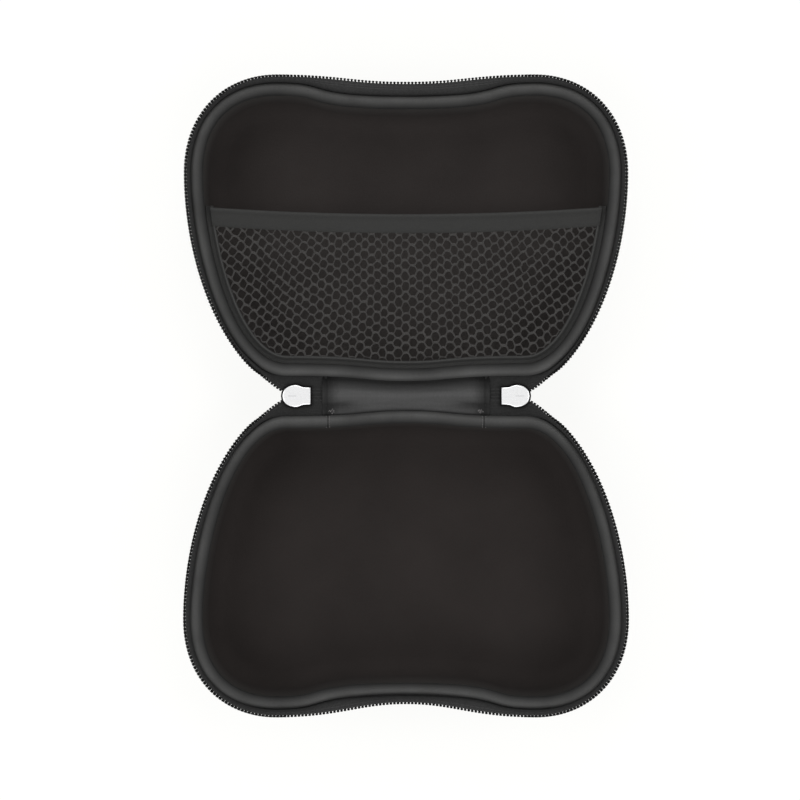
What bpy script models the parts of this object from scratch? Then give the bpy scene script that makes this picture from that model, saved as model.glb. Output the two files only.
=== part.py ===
"""Moulded zip case for a game controller, lying open and flat on its two backs.

Units are metres and +Z is up. The hinge strip runs along X over the origin, at the height of the
rims. The base half, which holds the controller, lies towards -Y, and the lid half, with the net
pocket, towards +Y. Each half is drawn once, as distances across (X) and away from the hinge line.
"""
import math

import bmesh
import bpy
import numpy as np
from mathutils import Matrix, Vector
from mathutils.geometry import interpolate_bezier

# General
CLEARANCE = 0.0003        # between pieces that touch on the real case
BASE, LID = -1, 1         # the side of the hinge line that a half lies on
CURVE_SAMPLES = 97        # points on which the length of a drawn curve is measured
WELD = 0.00002            # distance under which points of the net's drawing are one

# Outline of a half at the outer edge of its lip, right-hand side, as the places where it runs
# straight across or straight along, with the length of the curve's handles there
FAR_MIDDLE_Y = 0.1193     # the dip between the two grips
FAR_EASE = 0.0430
EAR_X, EAR_Y = 0.0517, 0.1247
EAR_EASE, EAR_ROUND = 0.0224, 0.0197
SIDE_X, SIDE_Y = 0.0857, 0.0890
SIDE_ROUND_FAR, SIDE_ROUND_NEAR = 0.0240, 0.0262
CORNER_X, CORNER_Y = 0.0473, 0.0086
CORNER_ROUND, CORNER_EASE = 0.0272, 0.0304
HINGE_MIDDLE_Y = 0.0065   # the hinge side bows a little towards the hinge line
HINGE_EASE = 0.0175
STATIONS = (6, 9, 14, 6)  # stations from far middle to ear, side, corner and hinge middle
CROWDING = (1.0, 1.0, 1.6, 1.0)  # over 1, stations crowd towards a stretch's end

# Moulded shells
RIM_Z = 0.0270            # height of the rims above the floor
RIM_STRAIGHT = 0.0040     # the wall stands straight for this far under the rim
WALL = 0.0042
DRAFT = 0.0013
BACK_ROUND = 0.0125       # radius between wall and back
BACK_STEPS = 3

# Bound lips on the rims
LIP_WIDTH = 0.0044
LIP_HEIGHT = 0.0023
LIP_SIDES = 5

# Zip tapes: a flange sewn between rim and lip, and a band that leans out to the teeth
TAPE = 0.0006
FLANGE = 0.0032
BEND_OUT = 0.0006         # the tape bends up this far outside the lip
BAND_RISE = 0.0053        # the tape's edge above its flange, where the band stands
STAND_LENGTH = 0.0200     # the band turns up from flat to standing over this length
LEAN_ROUNDS = 12          # rounds in which the band's lean and its width settle

# Line of the tooth tips, drawn like the outline above
TIPS_FAR_OUT = 0.0049     # outside the lip at the far middle, at the ears and at the sides
TIPS_EAR_OUT = 0.0036
TIPS_SIDE_OUT = 0.0031
TIPS_FAR_EASE, TIPS_EAR_EASE = 0.0200, 0.0264
TIPS_ROUND_EAR, TIPS_ROUND_FAR = 0.0203, 0.0240
TIPS_ROUND_NEAR, TIPS_END_EASE = 0.0408, 0.0243
TIPS_END_Y = 0.0015
TIPS_END_ANGLE = math.radians(30)

# Coil teeth along the edges of the tapes
TOOTH_PITCH = 0.00142
TOOTH_REACH = 0.0009      # tips past the tape's edge
TOOTH_ROOT = 0.0012       # roots of the teeth, and back of the coil, behind the tape's edge
COIL_BACK = 0.0021
COIL_THICK = 0.0013
TEETH_PER_BACK_POINT = 6

# Hinge strip and the two closed ends of the zip
FOLD_Y = 0.0060           # the strip folds along two lines, this far each side of the middle
FOLD_Z = 0.0280
CLOTH_THICK = 0.0008
CLOTH_PROUD = 0.0001      # the strip's upper face over the fold lines
CLOTH_HALF = 0.0335       # half length of the hinge cloth
JOINT_INSIDE = 0.0020     # the base's binding is joined this far inside the cloth's ends
CLOTH_STEPS = 8
CHAIN_WIDTH = 0.0056      # closed coil on the outer side of the tape
CHAIN_THICK = 0.0013
CHAIN_FROM_NOSE = 0.0041  # where the closed coil ends inside the slider
ZIP_END_GAP = 0.00045     # between the closed ends and the tapes that run on from them

# Sliders
SLIDER_NOSE_X = 0.0498
SLIDER_LENGTH = 0.0122
SLIDER_WIDTH = 0.0098
SLIDER_TAIL_WIDTH = 0.0076
SLIDER_SHOULDER = 0.0058  # widest place, from the nose
SLIDER_NECK = 0.0090      # where the narrow tail begins, from the nose
SLIDER_PLATE = 0.0012
SLIDER_EDGE = 0.0004      # rounding of the face's edge
NOSE_SIDES = 5
SLIDER_TRAVEL = 0.0034    # along the closed stretch, towards the hinge cloth
FLANGE_START = 0.0062     # the side walls run from here to the tail, from the nose
DIAMOND_LENGTH, DIAMOND_WIDTH = 0.0040, 0.0022
DIAMOND_FROM_NOSE = 0.0010
BRIDGE_LENGTH, BRIDGE_WIDTH = 0.0052, 0.0018
BRIDGE_HOLE_LENGTH, BRIDGE_HOLE_HEIGHT = 0.0030, 0.0022
BRIDGE_ROOF = 0.0010
BRIDGE_FROM_NOSE = 0.0062

# Pulls
PULL_BAR = 0.0012         # diameter of the bar through the bridge
PULL_LENGTH = 0.0185
PULL_WIDTH, PULL_TIP_WIDTH = 0.0062, 0.0050
PULL_THICK = 0.0014
PULL_EYE_LENGTH = 0.0040  # from the middle of the bar to the end of the eye
PULL_ARM = 0.0014
PULL_EDGE = 0.0003
PULL_TIP_SIDES = 6

# Net pocket in the lid
BAND_TOP_Y = 0.0740       # top edge of the elastic band at its middle
BAND_WIDTH = 0.0076
BAND_SAG = 0.0022         # the band's middle hangs this much nearer the hinge than its ends
BAND_THICK = 0.0012
BAND_STEPS = 12
NET_THICK = 0.0008
NET_DROP = 0.0004         # the pocket's face lies this far under the rim
EDGE_WIDTH = 0.0024       # tape along the net's sides and hinge side
EDGE_THICK = 0.0012
MESH_PITCH_X = 0.0076     # between columns of holes
MESH_PITCH_Y = 0.0084     # between holes in a column
STRAND = 0.0017
NET_MARGIN = 0.0010

# Colours: base colour, roughness, metallic
LINING = ((0.020, 0.018, 0.016), 0.92, 0.0)
BINDING = ((0.070, 0.070, 0.070), 0.75, 0.0)
TAPE_CLOTH = ((0.022, 0.022, 0.022), 0.85, 0.0)
COIL_PLASTIC = ((0.010, 0.010, 0.010), 0.40, 0.0)
HINGE_CLOTH = ((0.060, 0.060, 0.060), 0.85, 0.0)
ELASTIC = ((0.045, 0.045, 0.044), 0.85, 0.0)
NET_YARN = ((0.070, 0.070, 0.068), 0.80, 0.0)
CAST_METAL = ((0.850, 0.850, 0.860), 0.25, 1.0)

# Heights that follow from the sizes above
FLANGE_Z = RIM_Z + CLEARANCE + TAPE / 2
LIP_Z = FLANGE_Z + TAPE / 2 + CLEARANCE
TIPS_END_X = SLIDER_NOSE_X + CLEARANCE
STRIP_Z = FOLD_Z - CLOTH_THICK / 2 + CLOTH_PROUD
TAPE_TOP = STRIP_Z + TAPE / 2
SLIDER_FACE_Z = TAPE_TOP + CLEARANCE
SLIDER_BACK_Z = TAPE_TOP - TAPE - CHAIN_THICK - CLEARANCE
PULL_AXIS_Z = SLIDER_BACK_Z - SLIDER_PLATE - BRIDGE_HOLE_HEIGHT / 2
NET_TOP = RIM_Z - NET_DROP


def clear_scene():
    for obj in list(bpy.data.objects):
        bpy.data.objects.remove(obj, do_unlink=True)


def material(name, finish):
    colour, roughness, metallic = finish
    mat = bpy.data.materials.new(name)
    mat.use_nodes = True
    shader = mat.node_tree.nodes["Principled BSDF"]
    shader.inputs["Base Color"].default_value = (*colour, 1.0)
    shader.inputs["Roughness"].default_value = roughness
    shader.inputs["Metallic"].default_value = metallic
    mat.diffuse_color = (*colour, 1.0)
    return mat


def add_object(name, mesh, collection, finish):
    obj = bpy.data.objects.new(name, mesh)
    collection.objects.link(obj)
    if finish:
        mesh.materials.append(material(name, finish))
    return obj


def mesh_from(bm, name, smooth_angle=40):
    """Turn a bmesh into a mesh whose faces point out."""
    bmesh.ops.recalc_face_normals(bm, faces=bm.faces)
    mesh = bpy.data.meshes.new(name)
    bm.to_mesh(mesh)
    bm.free()
    mesh.shade_smooth()
    mesh.set_sharp_from_angle(angle=math.radians(smooth_angle))
    return mesh


def curve_points(start, start_handle, end_handle, end, count, crowding):
    """Points along one Bezier stretch, without its last point."""
    fine = interpolate_bezier(start, start_handle, end_handle, end, CURVE_SAMPLES)
    fine = np.array([point[:2] for point in fine])
    along = np.concatenate([[0.0], np.cumsum(np.linalg.norm(np.diff(fine, axis=0), axis=1))])
    to_end = 1.0 - np.arange(count) / count
    wanted = along[-1] * (1.0 - to_end ** crowding)
    return np.column_stack([np.interp(wanted, along, fine[:, axis]) for axis in (0, 1)])


def with_stations(stretches):
    """Each stretch of an outline with its number of stations and their crowding."""
    return [(*stretch, *shared) for stretch, shared in zip(stretches, zip(STATIONS, CROWDING))]


def drawn_outline():
    """Right half of the lip's outer edge, far middle to hinge middle."""
    far = Vector((0.0, FAR_MIDDLE_Y, 0.0))
    ear = Vector((EAR_X, EAR_Y, 0.0))
    side = Vector((SIDE_X, SIDE_Y, 0.0))
    corner = Vector((CORNER_X, CORNER_Y, 0.0))
    hinge = Vector((0.0, HINGE_MIDDLE_Y, 0.0))
    across, along = Vector((1.0, 0.0, 0.0)), Vector((0.0, 1.0, 0.0))
    stretches = (
        (far, far + across * FAR_EASE, ear - across * EAR_EASE, ear),
        (ear, ear + across * EAR_ROUND, side + along * SIDE_ROUND_FAR, side),
        (side, side - along * SIDE_ROUND_NEAR, corner + across * CORNER_ROUND, corner),
        (corner, corner - across * CORNER_EASE, hinge + across * HINGE_EASE, hinge),
    )
    points = [curve_points(*row) for row in with_stations(stretches)]
    return np.vstack(points + [np.array([[hinge.x, hinge.y]])])


def right_outline(inset):
    """The drawn outline moved in by the same distance everywhere, station by station."""
    points = drawn_outline()
    flip = (-1.0, 1.0)
    around = np.vstack([points[1] * flip, points, points[-2] * flip])
    steps = np.diff(around, axis=0)
    steps /= np.linalg.norm(steps, axis=1)[:, None]
    inward = np.column_stack([steps[:, 1], -steps[:, 0]])
    corner = inward[:-1] + inward[1:]
    corner *= 2 / (corner ** 2).sum(axis=1)[:, None]
    return points + corner * inset


def tips_line():
    """Right half of the line of tooth tips, far middle to the slider's nose."""
    far = Vector((0.0, FAR_MIDDLE_Y + TIPS_FAR_OUT, 0.0))
    ear = Vector((EAR_X, EAR_Y + TIPS_EAR_OUT, 0.0))
    side = Vector((SIDE_X + TIPS_SIDE_OUT, SIDE_Y, 0.0))
    end = Vector((TIPS_END_X, TIPS_END_Y, 0.0))
    across, along = Vector((1.0, 0.0, 0.0)), Vector((0.0, 1.0, 0.0))
    leaving = Vector((math.cos(TIPS_END_ANGLE), math.sin(TIPS_END_ANGLE), 0.0))
    stretches = (
        (far, far + across * TIPS_FAR_EASE, ear - across * TIPS_EAR_EASE, ear),
        (ear, ear + across * TIPS_ROUND_EAR, side + along * TIPS_ROUND_FAR, side),
        (side, side - along * TIPS_ROUND_NEAR, end + leaving * TIPS_END_EASE, end),
    )
    points = [curve_points(*row) for row in with_stations(stretches)]
    return np.vstack(points + [np.array([[end.x, end.y]])])


def mirrored_ring(right):
    """Full ring from a right half whose first and last points lie on the middle line."""
    left = right[-2:0:-1] * (-1.0, 1.0)
    return np.vstack([right, left])


def mirrored_run(right):
    """Full open run, right end over the far middle to left end, from a right half."""
    return np.vstack([right[::-1], right[1:] * (-1.0, *([1.0] * (right.shape[1] - 1)))])


def at_side(points, side):
    """Put points drawn away from the hinge line on one side of it."""
    return points * (1.0, side, 1.0)[:points.shape[-1]]


def loft(bm, sections, closed):
    """Quads between sections of the same number of points; closed sections join end to end."""
    rows = [[bm.verts.new(Vector(point)) for point in section] for section in sections]
    count = len(rows[0])
    for row, following in zip(rows, rows[1:]):
        for i in range(count if closed else count - 1):
            j = (i + 1) % count
            bm.faces.new((row[i], row[j], following[j], following[i]))
    return rows


def with_height(ring, z):
    return np.column_stack([ring, np.full(len(ring), z)])


def add_solidify(obj, thickness, offset):
    solid = obj.modifiers.new("Wall", "SOLIDIFY")
    solid.thickness = thickness
    solid.offset = offset
    solid.use_even_offset = True
    solid.use_quality_normals = True


def build_shell(name, side, parts):
    """Moulded tub: straight rim, drafted wall, round into a flat back, then its wall inwards."""
    levels = [(0.0, RIM_Z), (0.0, RIM_Z - RIM_STRAIGHT)]
    for step in range(BACK_STEPS + 1):
        angle = math.radians(90) * step / BACK_STEPS
        inset = DRAFT + BACK_ROUND * (1 - math.cos(angle))
        levels.append((inset, BACK_ROUND * (1 - math.sin(angle))))
    bm = bmesh.new()
    rings = [at_side(mirrored_ring(right_outline(inset)), side) for inset, _ in levels]
    sections = [with_height(ring, z) for ring, (_, z) in zip(rings, levels)]
    rows = loft(bm, sections, closed=True)
    bm.faces.new(rows[-1])
    obj = add_object(name, mesh_from(bm, name), parts, LINING)
    add_solidify(obj, WALL, -1.0)
    return obj


def lip_sections(run):
    """Half-round section of the binding, drawn as one run of points at each of its insets."""
    sections = []
    for step in range(LIP_SIDES + 1):
        angle = math.pi * step / LIP_SIDES
        inset = LIP_WIDTH / 2 * (1 - math.cos(angle))
        sections.append(with_height(run(right_outline(inset)), LIP_Z + LIP_HEIGHT * math.sin(angle)))
    return sections


def build_lip(name, side, parts, run, closed):
    """Rounded binding that caps the rim along a run of the outline."""
    bm = bmesh.new()
    rows = loft(bm, [at_side(section, side) for section in lip_sections(run)], closed)
    last, first = rows[-1], rows[0]
    count = len(first)
    for i in range(count if closed else count - 1):
        j = (i + 1) % count
        bm.faces.new((last[i], last[j], first[j], first[i]))
    if not closed:
        for end in (0, -1):
            bm.faces.new([row[end] for row in rows])
    return add_object(name, mesh_from(bm, name), parts, BINDING)


def with_joint(right):
    """A right-hand outline with a station moved to the joint in the base's binding, and its number."""
    joint_x = CLOTH_HALF - JOINT_INSIDE
    first = sum(STATIONS[:3])
    station = first + int(np.argmin(abs(drawn_outline()[first:, 0] - joint_x)))
    towards_corner = right[first:][::-1]
    moved = right.copy()
    moved[station] = joint_x, np.interp(joint_x, towards_corner[:, 0], towards_corner[:, 1])
    return moved, station


def far_run(right):
    """From the right-hand joint round the far side to the left-hand joint."""
    moved, station = with_joint(right)
    return mirrored_run(moved[:station + 1])


def hinge_run(right):
    """Between the joints along the hinge side, a clearance short of each."""
    moved, station = with_joint(right)
    run = mirrored_run(moved[:station - 1:-1])
    for end, following in ((0, 1), (-1, -2)):
        step = run[following] - run[end]
        run[end] = run[end] + step * (CLEARANCE / np.linalg.norm(step))
    return run


def band_frames():
    """Along the right half: places of the bend and the edge, and the band's out and under directions.

    The band leans so that the tooth tips come out over their own line, seen from above.
    """
    outline = right_outline(-BEND_OUT)[:sum(STATIONS[:3]) + 1]
    tips = tips_line()
    to_tips = tips - outline
    distance = np.linalg.norm(to_tips, axis=1)
    level = to_tips / distance[:, None]
    steps = np.linalg.norm(np.diff(tips, axis=0), axis=1)
    from_end = np.concatenate([np.cumsum(steps[::-1])[::-1], [0.0]])
    turned_up = np.clip(from_end / STAND_LENGTH, 0.0, 1.0)
    rise = BAND_RISE * turned_up ** 2 * (3 - 2 * turned_up)
    tip_under = CLEARANCE + (TAPE + COIL_THICK) / 2
    lean = np.arctan2(rise, distance)
    for _ in range(LEAN_ROUNDS):
        run = distance - TOOTH_REACH * np.cos(lean) - tip_under * np.sin(lean)
        lean = np.arctan2(rise, run)
    bend = with_height(outline, FLANGE_Z)
    edge = bend + np.column_stack([level * run[:, None], rise])
    out = np.column_stack([level * np.cos(lean)[:, None], np.sin(lean)])
    under = np.column_stack([level * np.sin(lean)[:, None], -np.cos(lean)])
    return bend, edge, out, under


def build_tape(name, side, parts):
    """Flange between rim and lip, bent up into the band that carries the teeth."""
    bend, edge, out, _ = band_frames()
    flange = with_height(right_outline(FLANGE)[:len(bend)], FLANGE_Z)
    behind_coil = edge - out * COIL_BACK
    bm = bmesh.new()
    rows = (flange, bend, behind_coil, edge)
    loft(bm, [at_side(mirrored_run(row), side) for row in rows], closed=False)
    obj = add_object(name, mesh_from(bm, name), parts, TAPE_CLOTH)
    add_solidify(obj, TAPE, 0.0)
    return obj


def build_coil(name, side, parts):
    """One run of teeth on the outer face of the band: a strip with a pointed tooth at every pitch."""
    _, edge, out, under = band_frames()
    edge, out, under = (mirrored_run(row) for row in (edge, out, under))
    along = np.concatenate([[0.0], np.cumsum(np.linalg.norm(np.diff(edge, axis=0), axis=1))])
    teeth = int(along[-1] / TOOTH_PITCH) // TEETH_PER_BACK_POINT * TEETH_PER_BACK_POINT
    pitch = along[-1] / teeth
    near, far = TAPE / 2 + CLEARANCE, TAPE / 2 + CLEARANCE + COIL_THICK

    def place(distance, reach, depth):
        origin, direction, down = (
            np.array([np.interp(distance, along, row[:, axis]) for axis in range(3)])
            for row in (edge, out, under)
        )
        return Vector(at_side(origin + direction * reach + down * depth, side))

    bm = bmesh.new()
    tops, bottoms, tips, backs = [], [], [], []
    for tooth in range(teeth + 1):
        root = tooth * pitch
        tops.append(bm.verts.new(place(root, -TOOTH_ROOT, near)))
        bottoms.append(bm.verts.new(place(root, -TOOTH_ROOT, far)))
        if tooth % TEETH_PER_BACK_POINT == 0:
            backs.append(bm.verts.new(place(root, -COIL_BACK, (near + far) / 2)))
        if tooth < teeth:
            tips.append(bm.verts.new(place(root + pitch / 2, TOOTH_REACH, (near + far) / 2)))
    for tooth in range(teeth):
        tip, top, bottom = tips[tooth], tops[tooth], bottoms[tooth]
        next_top, next_bottom = tops[tooth + 1], bottoms[tooth + 1]
        for corners in ((top, next_top, tip), (bottom, tip, next_bottom), (top, tip, bottom),
                        (next_top, next_bottom, tip)):
            bm.faces.new(corners)
    for group in range(len(backs) - 1):
        first = group * TEETH_PER_BACK_POINT
        half = first + TEETH_PER_BACK_POINT // 2
        back, next_back = backs[group], backs[group + 1]
        for row in (tops, bottoms):
            bm.faces.new((back, next_back, row[half]))
            for i in range(first, first + TEETH_PER_BACK_POINT):
                bm.faces.new((back if i < half else next_back, row[i], row[i + 1]))
    for end in (0, -1):
        bm.faces.new((backs[end], tops[end], bottoms[end]))
    return add_object(name, mesh_from(bm, name), parts, COIL_PLASTIC)


def hinge_edge(x):
    """Distance of the lip's outer edge from the hinge line, on the hinge side."""
    right = right_outline(0.0)[-STATIONS[3] - 1:][::-1]
    return float(np.interp(abs(x), right[:, 0], right[:, 1]))


def plate(bm, outline, bottom, top):
    """Flat plate with a given outline."""
    face = bm.faces.new([bm.verts.new((x, y, bottom)) for x, y in outline])
    grown = bmesh.ops.extrude_face_region(bm, geom=[face])
    raised = [item for item in grown["geom"] if isinstance(item, bmesh.types.BMVert)]
    bmesh.ops.translate(bm, verts=raised, vec=(0.0, 0.0, top - bottom))


def strip_outline(start, end, steps):
    """Outline of a stretch of the hinge strip that reaches both lips."""
    across = np.linspace(start, end, steps + 1)
    reach = [hinge_edge(x) - CLEARANCE for x in across]
    return [(x, -y) for x, y in zip(across, reach)] + [(x, y) for x, y in zip(across[::-1], reach[::-1])]


def build_hinge_cloth(parts):
    bm = bmesh.new()
    plate(bm, strip_outline(-CLOTH_HALF, CLOTH_HALF, CLOTH_STEPS), STRIP_Z - CLOTH_THICK / 2,
          STRIP_Z + CLOTH_THICK / 2)
    return add_object("hinge_cloth", mesh_from(bm, "hinge_cloth"), parts, HINGE_CLOTH)


def unite(obj, mesh, guides):
    """Join another closed shape onto an object with a Boolean union."""
    guide = add_object(mesh.name, mesh, guides, None)
    guide.hide_render = True
    guide.display_type = "WIRE"
    union = obj.modifiers.new("Join " + mesh.name, "BOOLEAN")
    union.operation = "UNION"
    union.object = guide


def build_zip_end(name, hand, parts, guides):
    """Closed end of the zip: both tapes side by side, with the meshed coil under them.

    A slot from its outer end lets the slider's diamond slide in.
    """
    bend, edge, _, _ = band_frames()
    start = CLOTH_HALF + CLEARANCE
    half_slot = DIAMOND_WIDTH / 2 + CLEARANCE
    crotch = SLIDER_NOSE_X - DIAMOND_FROM_NOSE - DIAMOND_LENGTH - SLIDER_TRAVEL - CLEARANCE

    def forked(lower_edge, open_end):
        slot = [(open_end, -half_slot), (crotch + half_slot, -half_slot), (crotch, 0.0)]
        lower = lower_edge + slot
        return [(hand * x, y) for x, y in lower + [(x, -y) for x, y in lower[-2::-1]]]

    tape_edge = [(x, CLEARANCE - hinge_edge(x)) for x in np.linspace(start, bend[-1][0] - ZIP_END_GAP, 4)]
    outer_end = edge[-1][0] - ZIP_END_GAP
    tape_edge.append((outer_end, -edge[-1][1]))
    chain_end = SLIDER_NOSE_X - CHAIN_FROM_NOSE
    chain_edge = [(start, -CHAIN_WIDTH / 2), (chain_end, -CHAIN_WIDTH / 2)]
    bm = bmesh.new()
    plate(bm, forked(tape_edge, outer_end), TAPE_TOP - TAPE, TAPE_TOP)
    obj = add_object(name, mesh_from(bm, name), parts, TAPE_CLOTH)
    bm = bmesh.new()
    plate(bm, forked(chain_edge, chain_end), TAPE_TOP - TAPE - CHAIN_THICK, TAPE_TOP - TAPE / 2)
    unite(obj, mesh_from(bm, name + "_chain"), guides)
    return obj


def slider_outline():
    """Plan of a slider's plate: round nose at x = 0, shoulders, neck and square tail behind it."""
    half = []
    for step in range(NOSE_SIDES + 1):
        angle = math.radians(90) * step / NOSE_SIDES
        half.append((SLIDER_SHOULDER * (math.cos(angle) - 1), SLIDER_WIDTH / 2 * math.sin(angle)))
    half.append((-SLIDER_NECK, SLIDER_TAIL_WIDTH / 2))
    half.append((-SLIDER_LENGTH, SLIDER_TAIL_WIDTH / 2))
    return half + [(x, -y) for x, y in half[:0:-1]]


def build_slider(name, hand, parts, guides):
    """Cast slider: two plates joined by the diamond at the nose, side walls and the pull's bridge."""
    origin = Vector((hand * SLIDER_NOSE_X, 0.0, 0.0))
    flip = Matrix.Diagonal((hand, 1.0, 1.0, 1.0))

    def placed(bm, shape_name):
        bmesh.ops.transform(bm, matrix=flip, verts=bm.verts)
        return mesh_from(bm, shape_name)

    bm = bmesh.new()
    plate(bm, slider_outline(), SLIDER_FACE_Z, SLIDER_FACE_Z + SLIDER_PLATE)
    rims = [e for e in bm.edges if all(v.co.z > SLIDER_FACE_Z + SLIDER_PLATE / 2 for v in e.verts)]
    bmesh.ops.bevel(bm, geom=rims, offset=SLIDER_EDGE, segments=2, profile=0.5, affect="EDGES")
    obj = add_object(name, placed(bm, name), parts, CAST_METAL)
    obj.location = origin

    def join(bm, shape_name):
        unite(obj, placed(bm, name + "_" + shape_name), guides)
        guides.objects[-1].location = origin

    bm = bmesh.new()
    plate(bm, slider_outline(), SLIDER_BACK_Z - SLIDER_PLATE, SLIDER_BACK_Z)
    join(bm, "back_plate")

    bm = bmesh.new()
    tip = -DIAMOND_FROM_NOSE
    half_length, half_width = DIAMOND_LENGTH / 2, DIAMOND_WIDTH / 2
    diamond = [(tip, 0.0), (tip - half_length, half_width), (tip - 2 * half_length, 0.0),
               (tip - half_length, -half_width)]
    plate(bm, diamond, SLIDER_BACK_Z - SLIDER_PLATE / 2, SLIDER_FACE_Z + SLIDER_PLATE / 2)
    join(bm, "diamond")

    for side in (-1, 1):
        bm = bmesh.new()
        inner = side * (CHAIN_WIDTH / 2 + CLEARANCE)
        outer = side * SLIDER_TAIL_WIDTH / 2
        wall = [(-FLANGE_START, inner), (-SLIDER_LENGTH, inner), (-SLIDER_LENGTH, outer),
                (-FLANGE_START, outer)]
        plate(bm, wall, SLIDER_BACK_Z - SLIDER_PLATE / 2, TAPE_TOP - TAPE - CLEARANCE)
        join(bm, "wall_left" if side < 0 else "wall_right")

    bm = bmesh.new()
    top, roof = BRIDGE_LENGTH / 2, BRIDGE_HOLE_LENGTH / 2
    foot = SLIDER_BACK_Z - SLIDER_PLATE / 2
    under = SLIDER_BACK_Z - SLIDER_PLATE
    low = under - BRIDGE_HOLE_HEIGHT
    arch = [(-top, foot), (-top, low), (-roof, low - BRIDGE_ROOF), (roof, low - BRIDGE_ROOF),
            (top, low), (top, foot), (roof, foot), (roof, low), (-roof, low), (-roof, foot)]
    corners = [bm.verts.new((x - BRIDGE_FROM_NOSE, -BRIDGE_WIDTH / 2, z)) for x, z in arch]
    side_face = bm.faces.new(corners)
    grown = bmesh.ops.extrude_face_region(bm, geom=[side_face])
    moved = [item for item in grown["geom"] if isinstance(item, bmesh.types.BMVert)]
    bmesh.ops.translate(bm, verts=moved, vec=(0.0, BRIDGE_WIDTH, 0.0))
    join(bm, "bridge")
    return obj


def build_pull(name, hand, parts, guides):
    """Flat tab with an eye whose top bar passes through the slider's bridge; it hangs straight down."""
    bm = bmesh.new()
    half, tip = PULL_WIDTH / 2, PULL_TIP_WIDTH / 2
    top, bottom = PULL_BAR / 2, -PULL_LENGTH
    outline = [(-half, top), (-half, -PULL_EYE_LENGTH - PULL_ARM)]
    for step in range(PULL_TIP_SIDES + 1):
        angle = math.pi * step / PULL_TIP_SIDES
        outline.append((-tip * math.cos(angle), bottom + tip * (1 - math.sin(angle))))
    outline += [(half, -PULL_EYE_LENGTH - PULL_ARM), (half, top)]
    face = bm.faces.new([bm.verts.new((-PULL_THICK / 2, y, z)) for y, z in outline])
    grown = bmesh.ops.extrude_face_region(bm, geom=[face])
    moved = [item for item in grown["geom"] if isinstance(item, bmesh.types.BMVert)]
    bmesh.ops.translate(bm, verts=moved, vec=(PULL_THICK, 0.0, 0.0))
    obj = add_object(name, mesh_from(bm, name), parts, CAST_METAL)
    obj.location = (hand * (SLIDER_NOSE_X - BRIDGE_FROM_NOSE), 0.0, PULL_AXIS_Z)

    bm = bmesh.new()
    eye_height = PULL_EYE_LENGTH - PULL_BAR / 2
    bmesh.ops.create_cube(bm, size=1.0)
    bmesh.ops.scale(bm, verts=bm.verts, vec=(PULL_THICK * 2, PULL_WIDTH - 2 * PULL_ARM, eye_height))
    eye = add_object(name + "_eye", mesh_from(bm, name + "_eye"), guides, None)
    eye.location = obj.location + Vector((0.0, 0.0, -PULL_BAR / 2 - eye_height / 2))
    eye.hide_render = True
    eye.display_type = "WIRE"
    cut = obj.modifiers.new("Eye", "BOOLEAN")
    cut.operation = "DIFFERENCE"
    cut.object = eye
    soften = obj.modifiers.new("Cast edges", "BEVEL")
    soften.width = PULL_EDGE
    soften.segments = 2
    soften.limit_method = "ANGLE"
    return obj


def pocket_run(inset, top_y):
    """Right-hand run of the lid's inside at the rim, from a place up the lid to the hinge side."""
    points = right_outline(inset)
    near = points[sum(STATIONS[:2]):sum(STATIONS[:3]) + 1][::-1]
    top = (float(np.interp(top_y, near[:, 1], near[:, 0])), top_y)
    below = [tuple(point) for point in points[sum(STATIONS[:2]):] if point[1] < top_y - CLEARANCE]
    return [top] + below


def band_edge(drop, inset):
    """The band's top edge, moved towards the hinge; its middle hangs and its ends meet the inset."""
    reach = pocket_run(inset, BAND_TOP_Y + BAND_SAG - drop)[0][0]
    across = np.linspace(-reach, reach, BAND_STEPS + 1)
    return [(x, BAND_TOP_Y - drop + BAND_SAG * (x / reach) ** 2) for x in across]


def build_band(parts):
    bm = bmesh.new()
    outline = band_edge(0.0, WALL + CLEARANCE) + band_edge(BAND_WIDTH, WALL + CLEARANCE)[::-1]
    plate(bm, outline, NET_TOP - BAND_THICK, NET_TOP)
    return add_object("pocket_band", mesh_from(bm, "pocket_band"), parts, ELASTIC)


def build_pocket_edge(parts):
    """Tape sewn along the net's sides and hinge side, against the lid's wall."""
    top_y = BAND_TOP_Y + BAND_SAG - BAND_WIDTH - CLEARANCE
    outer = pocket_run(WALL + CLEARANCE, top_y)
    inner = pocket_run(WALL + CLEARANCE + EDGE_WIDTH, top_y)
    bm = bmesh.new()
    outline = outer + [(-x, y) for x, y in outer[-2::-1]]
    outline += [(-x, y) for x, y in inner] + inner[-2::-1]
    plate(bm, outline, NET_TOP - EDGE_THICK, NET_TOP)
    return add_object("pocket_edge", mesh_from(bm, "pocket_edge"), parts, BINDING)


def net_outline():
    """The net fills the space between the band and the edge tape."""
    inset = WALL + EDGE_WIDTH + 2 * CLEARANCE
    top = band_edge(BAND_WIDTH + CLEARANCE, inset)
    lower = pocket_run(inset, top[-1][1])[1:]
    return top + lower + [(-x, y) for x, y in lower[-2::-1]]


def inside(point, outline, margin):
    """Whether a point lies inside a closed outline and further than the margin from its edge."""
    x, y = point
    crossings = 0
    for (x0, y0), (x1, y1) in zip(outline, outline[1:] + outline[:1]):
        if (y0 > y) != (y1 > y) and x < x0 + (y - y0) * (x1 - x0) / (y1 - y0):
            crossings += 1
        length_squared = (x1 - x0) ** 2 + (y1 - y0) ** 2
        along = ((x - x0) * (x1 - x0) + (y - y0) * (y1 - y0)) / length_squared
        along = min(1.0, max(0.0, along))
        if math.hypot(x - x0 - along * (x1 - x0), y - y0 - along * (y1 - y0)) < margin:
            return False
    return crossings % 2 == 1


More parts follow.
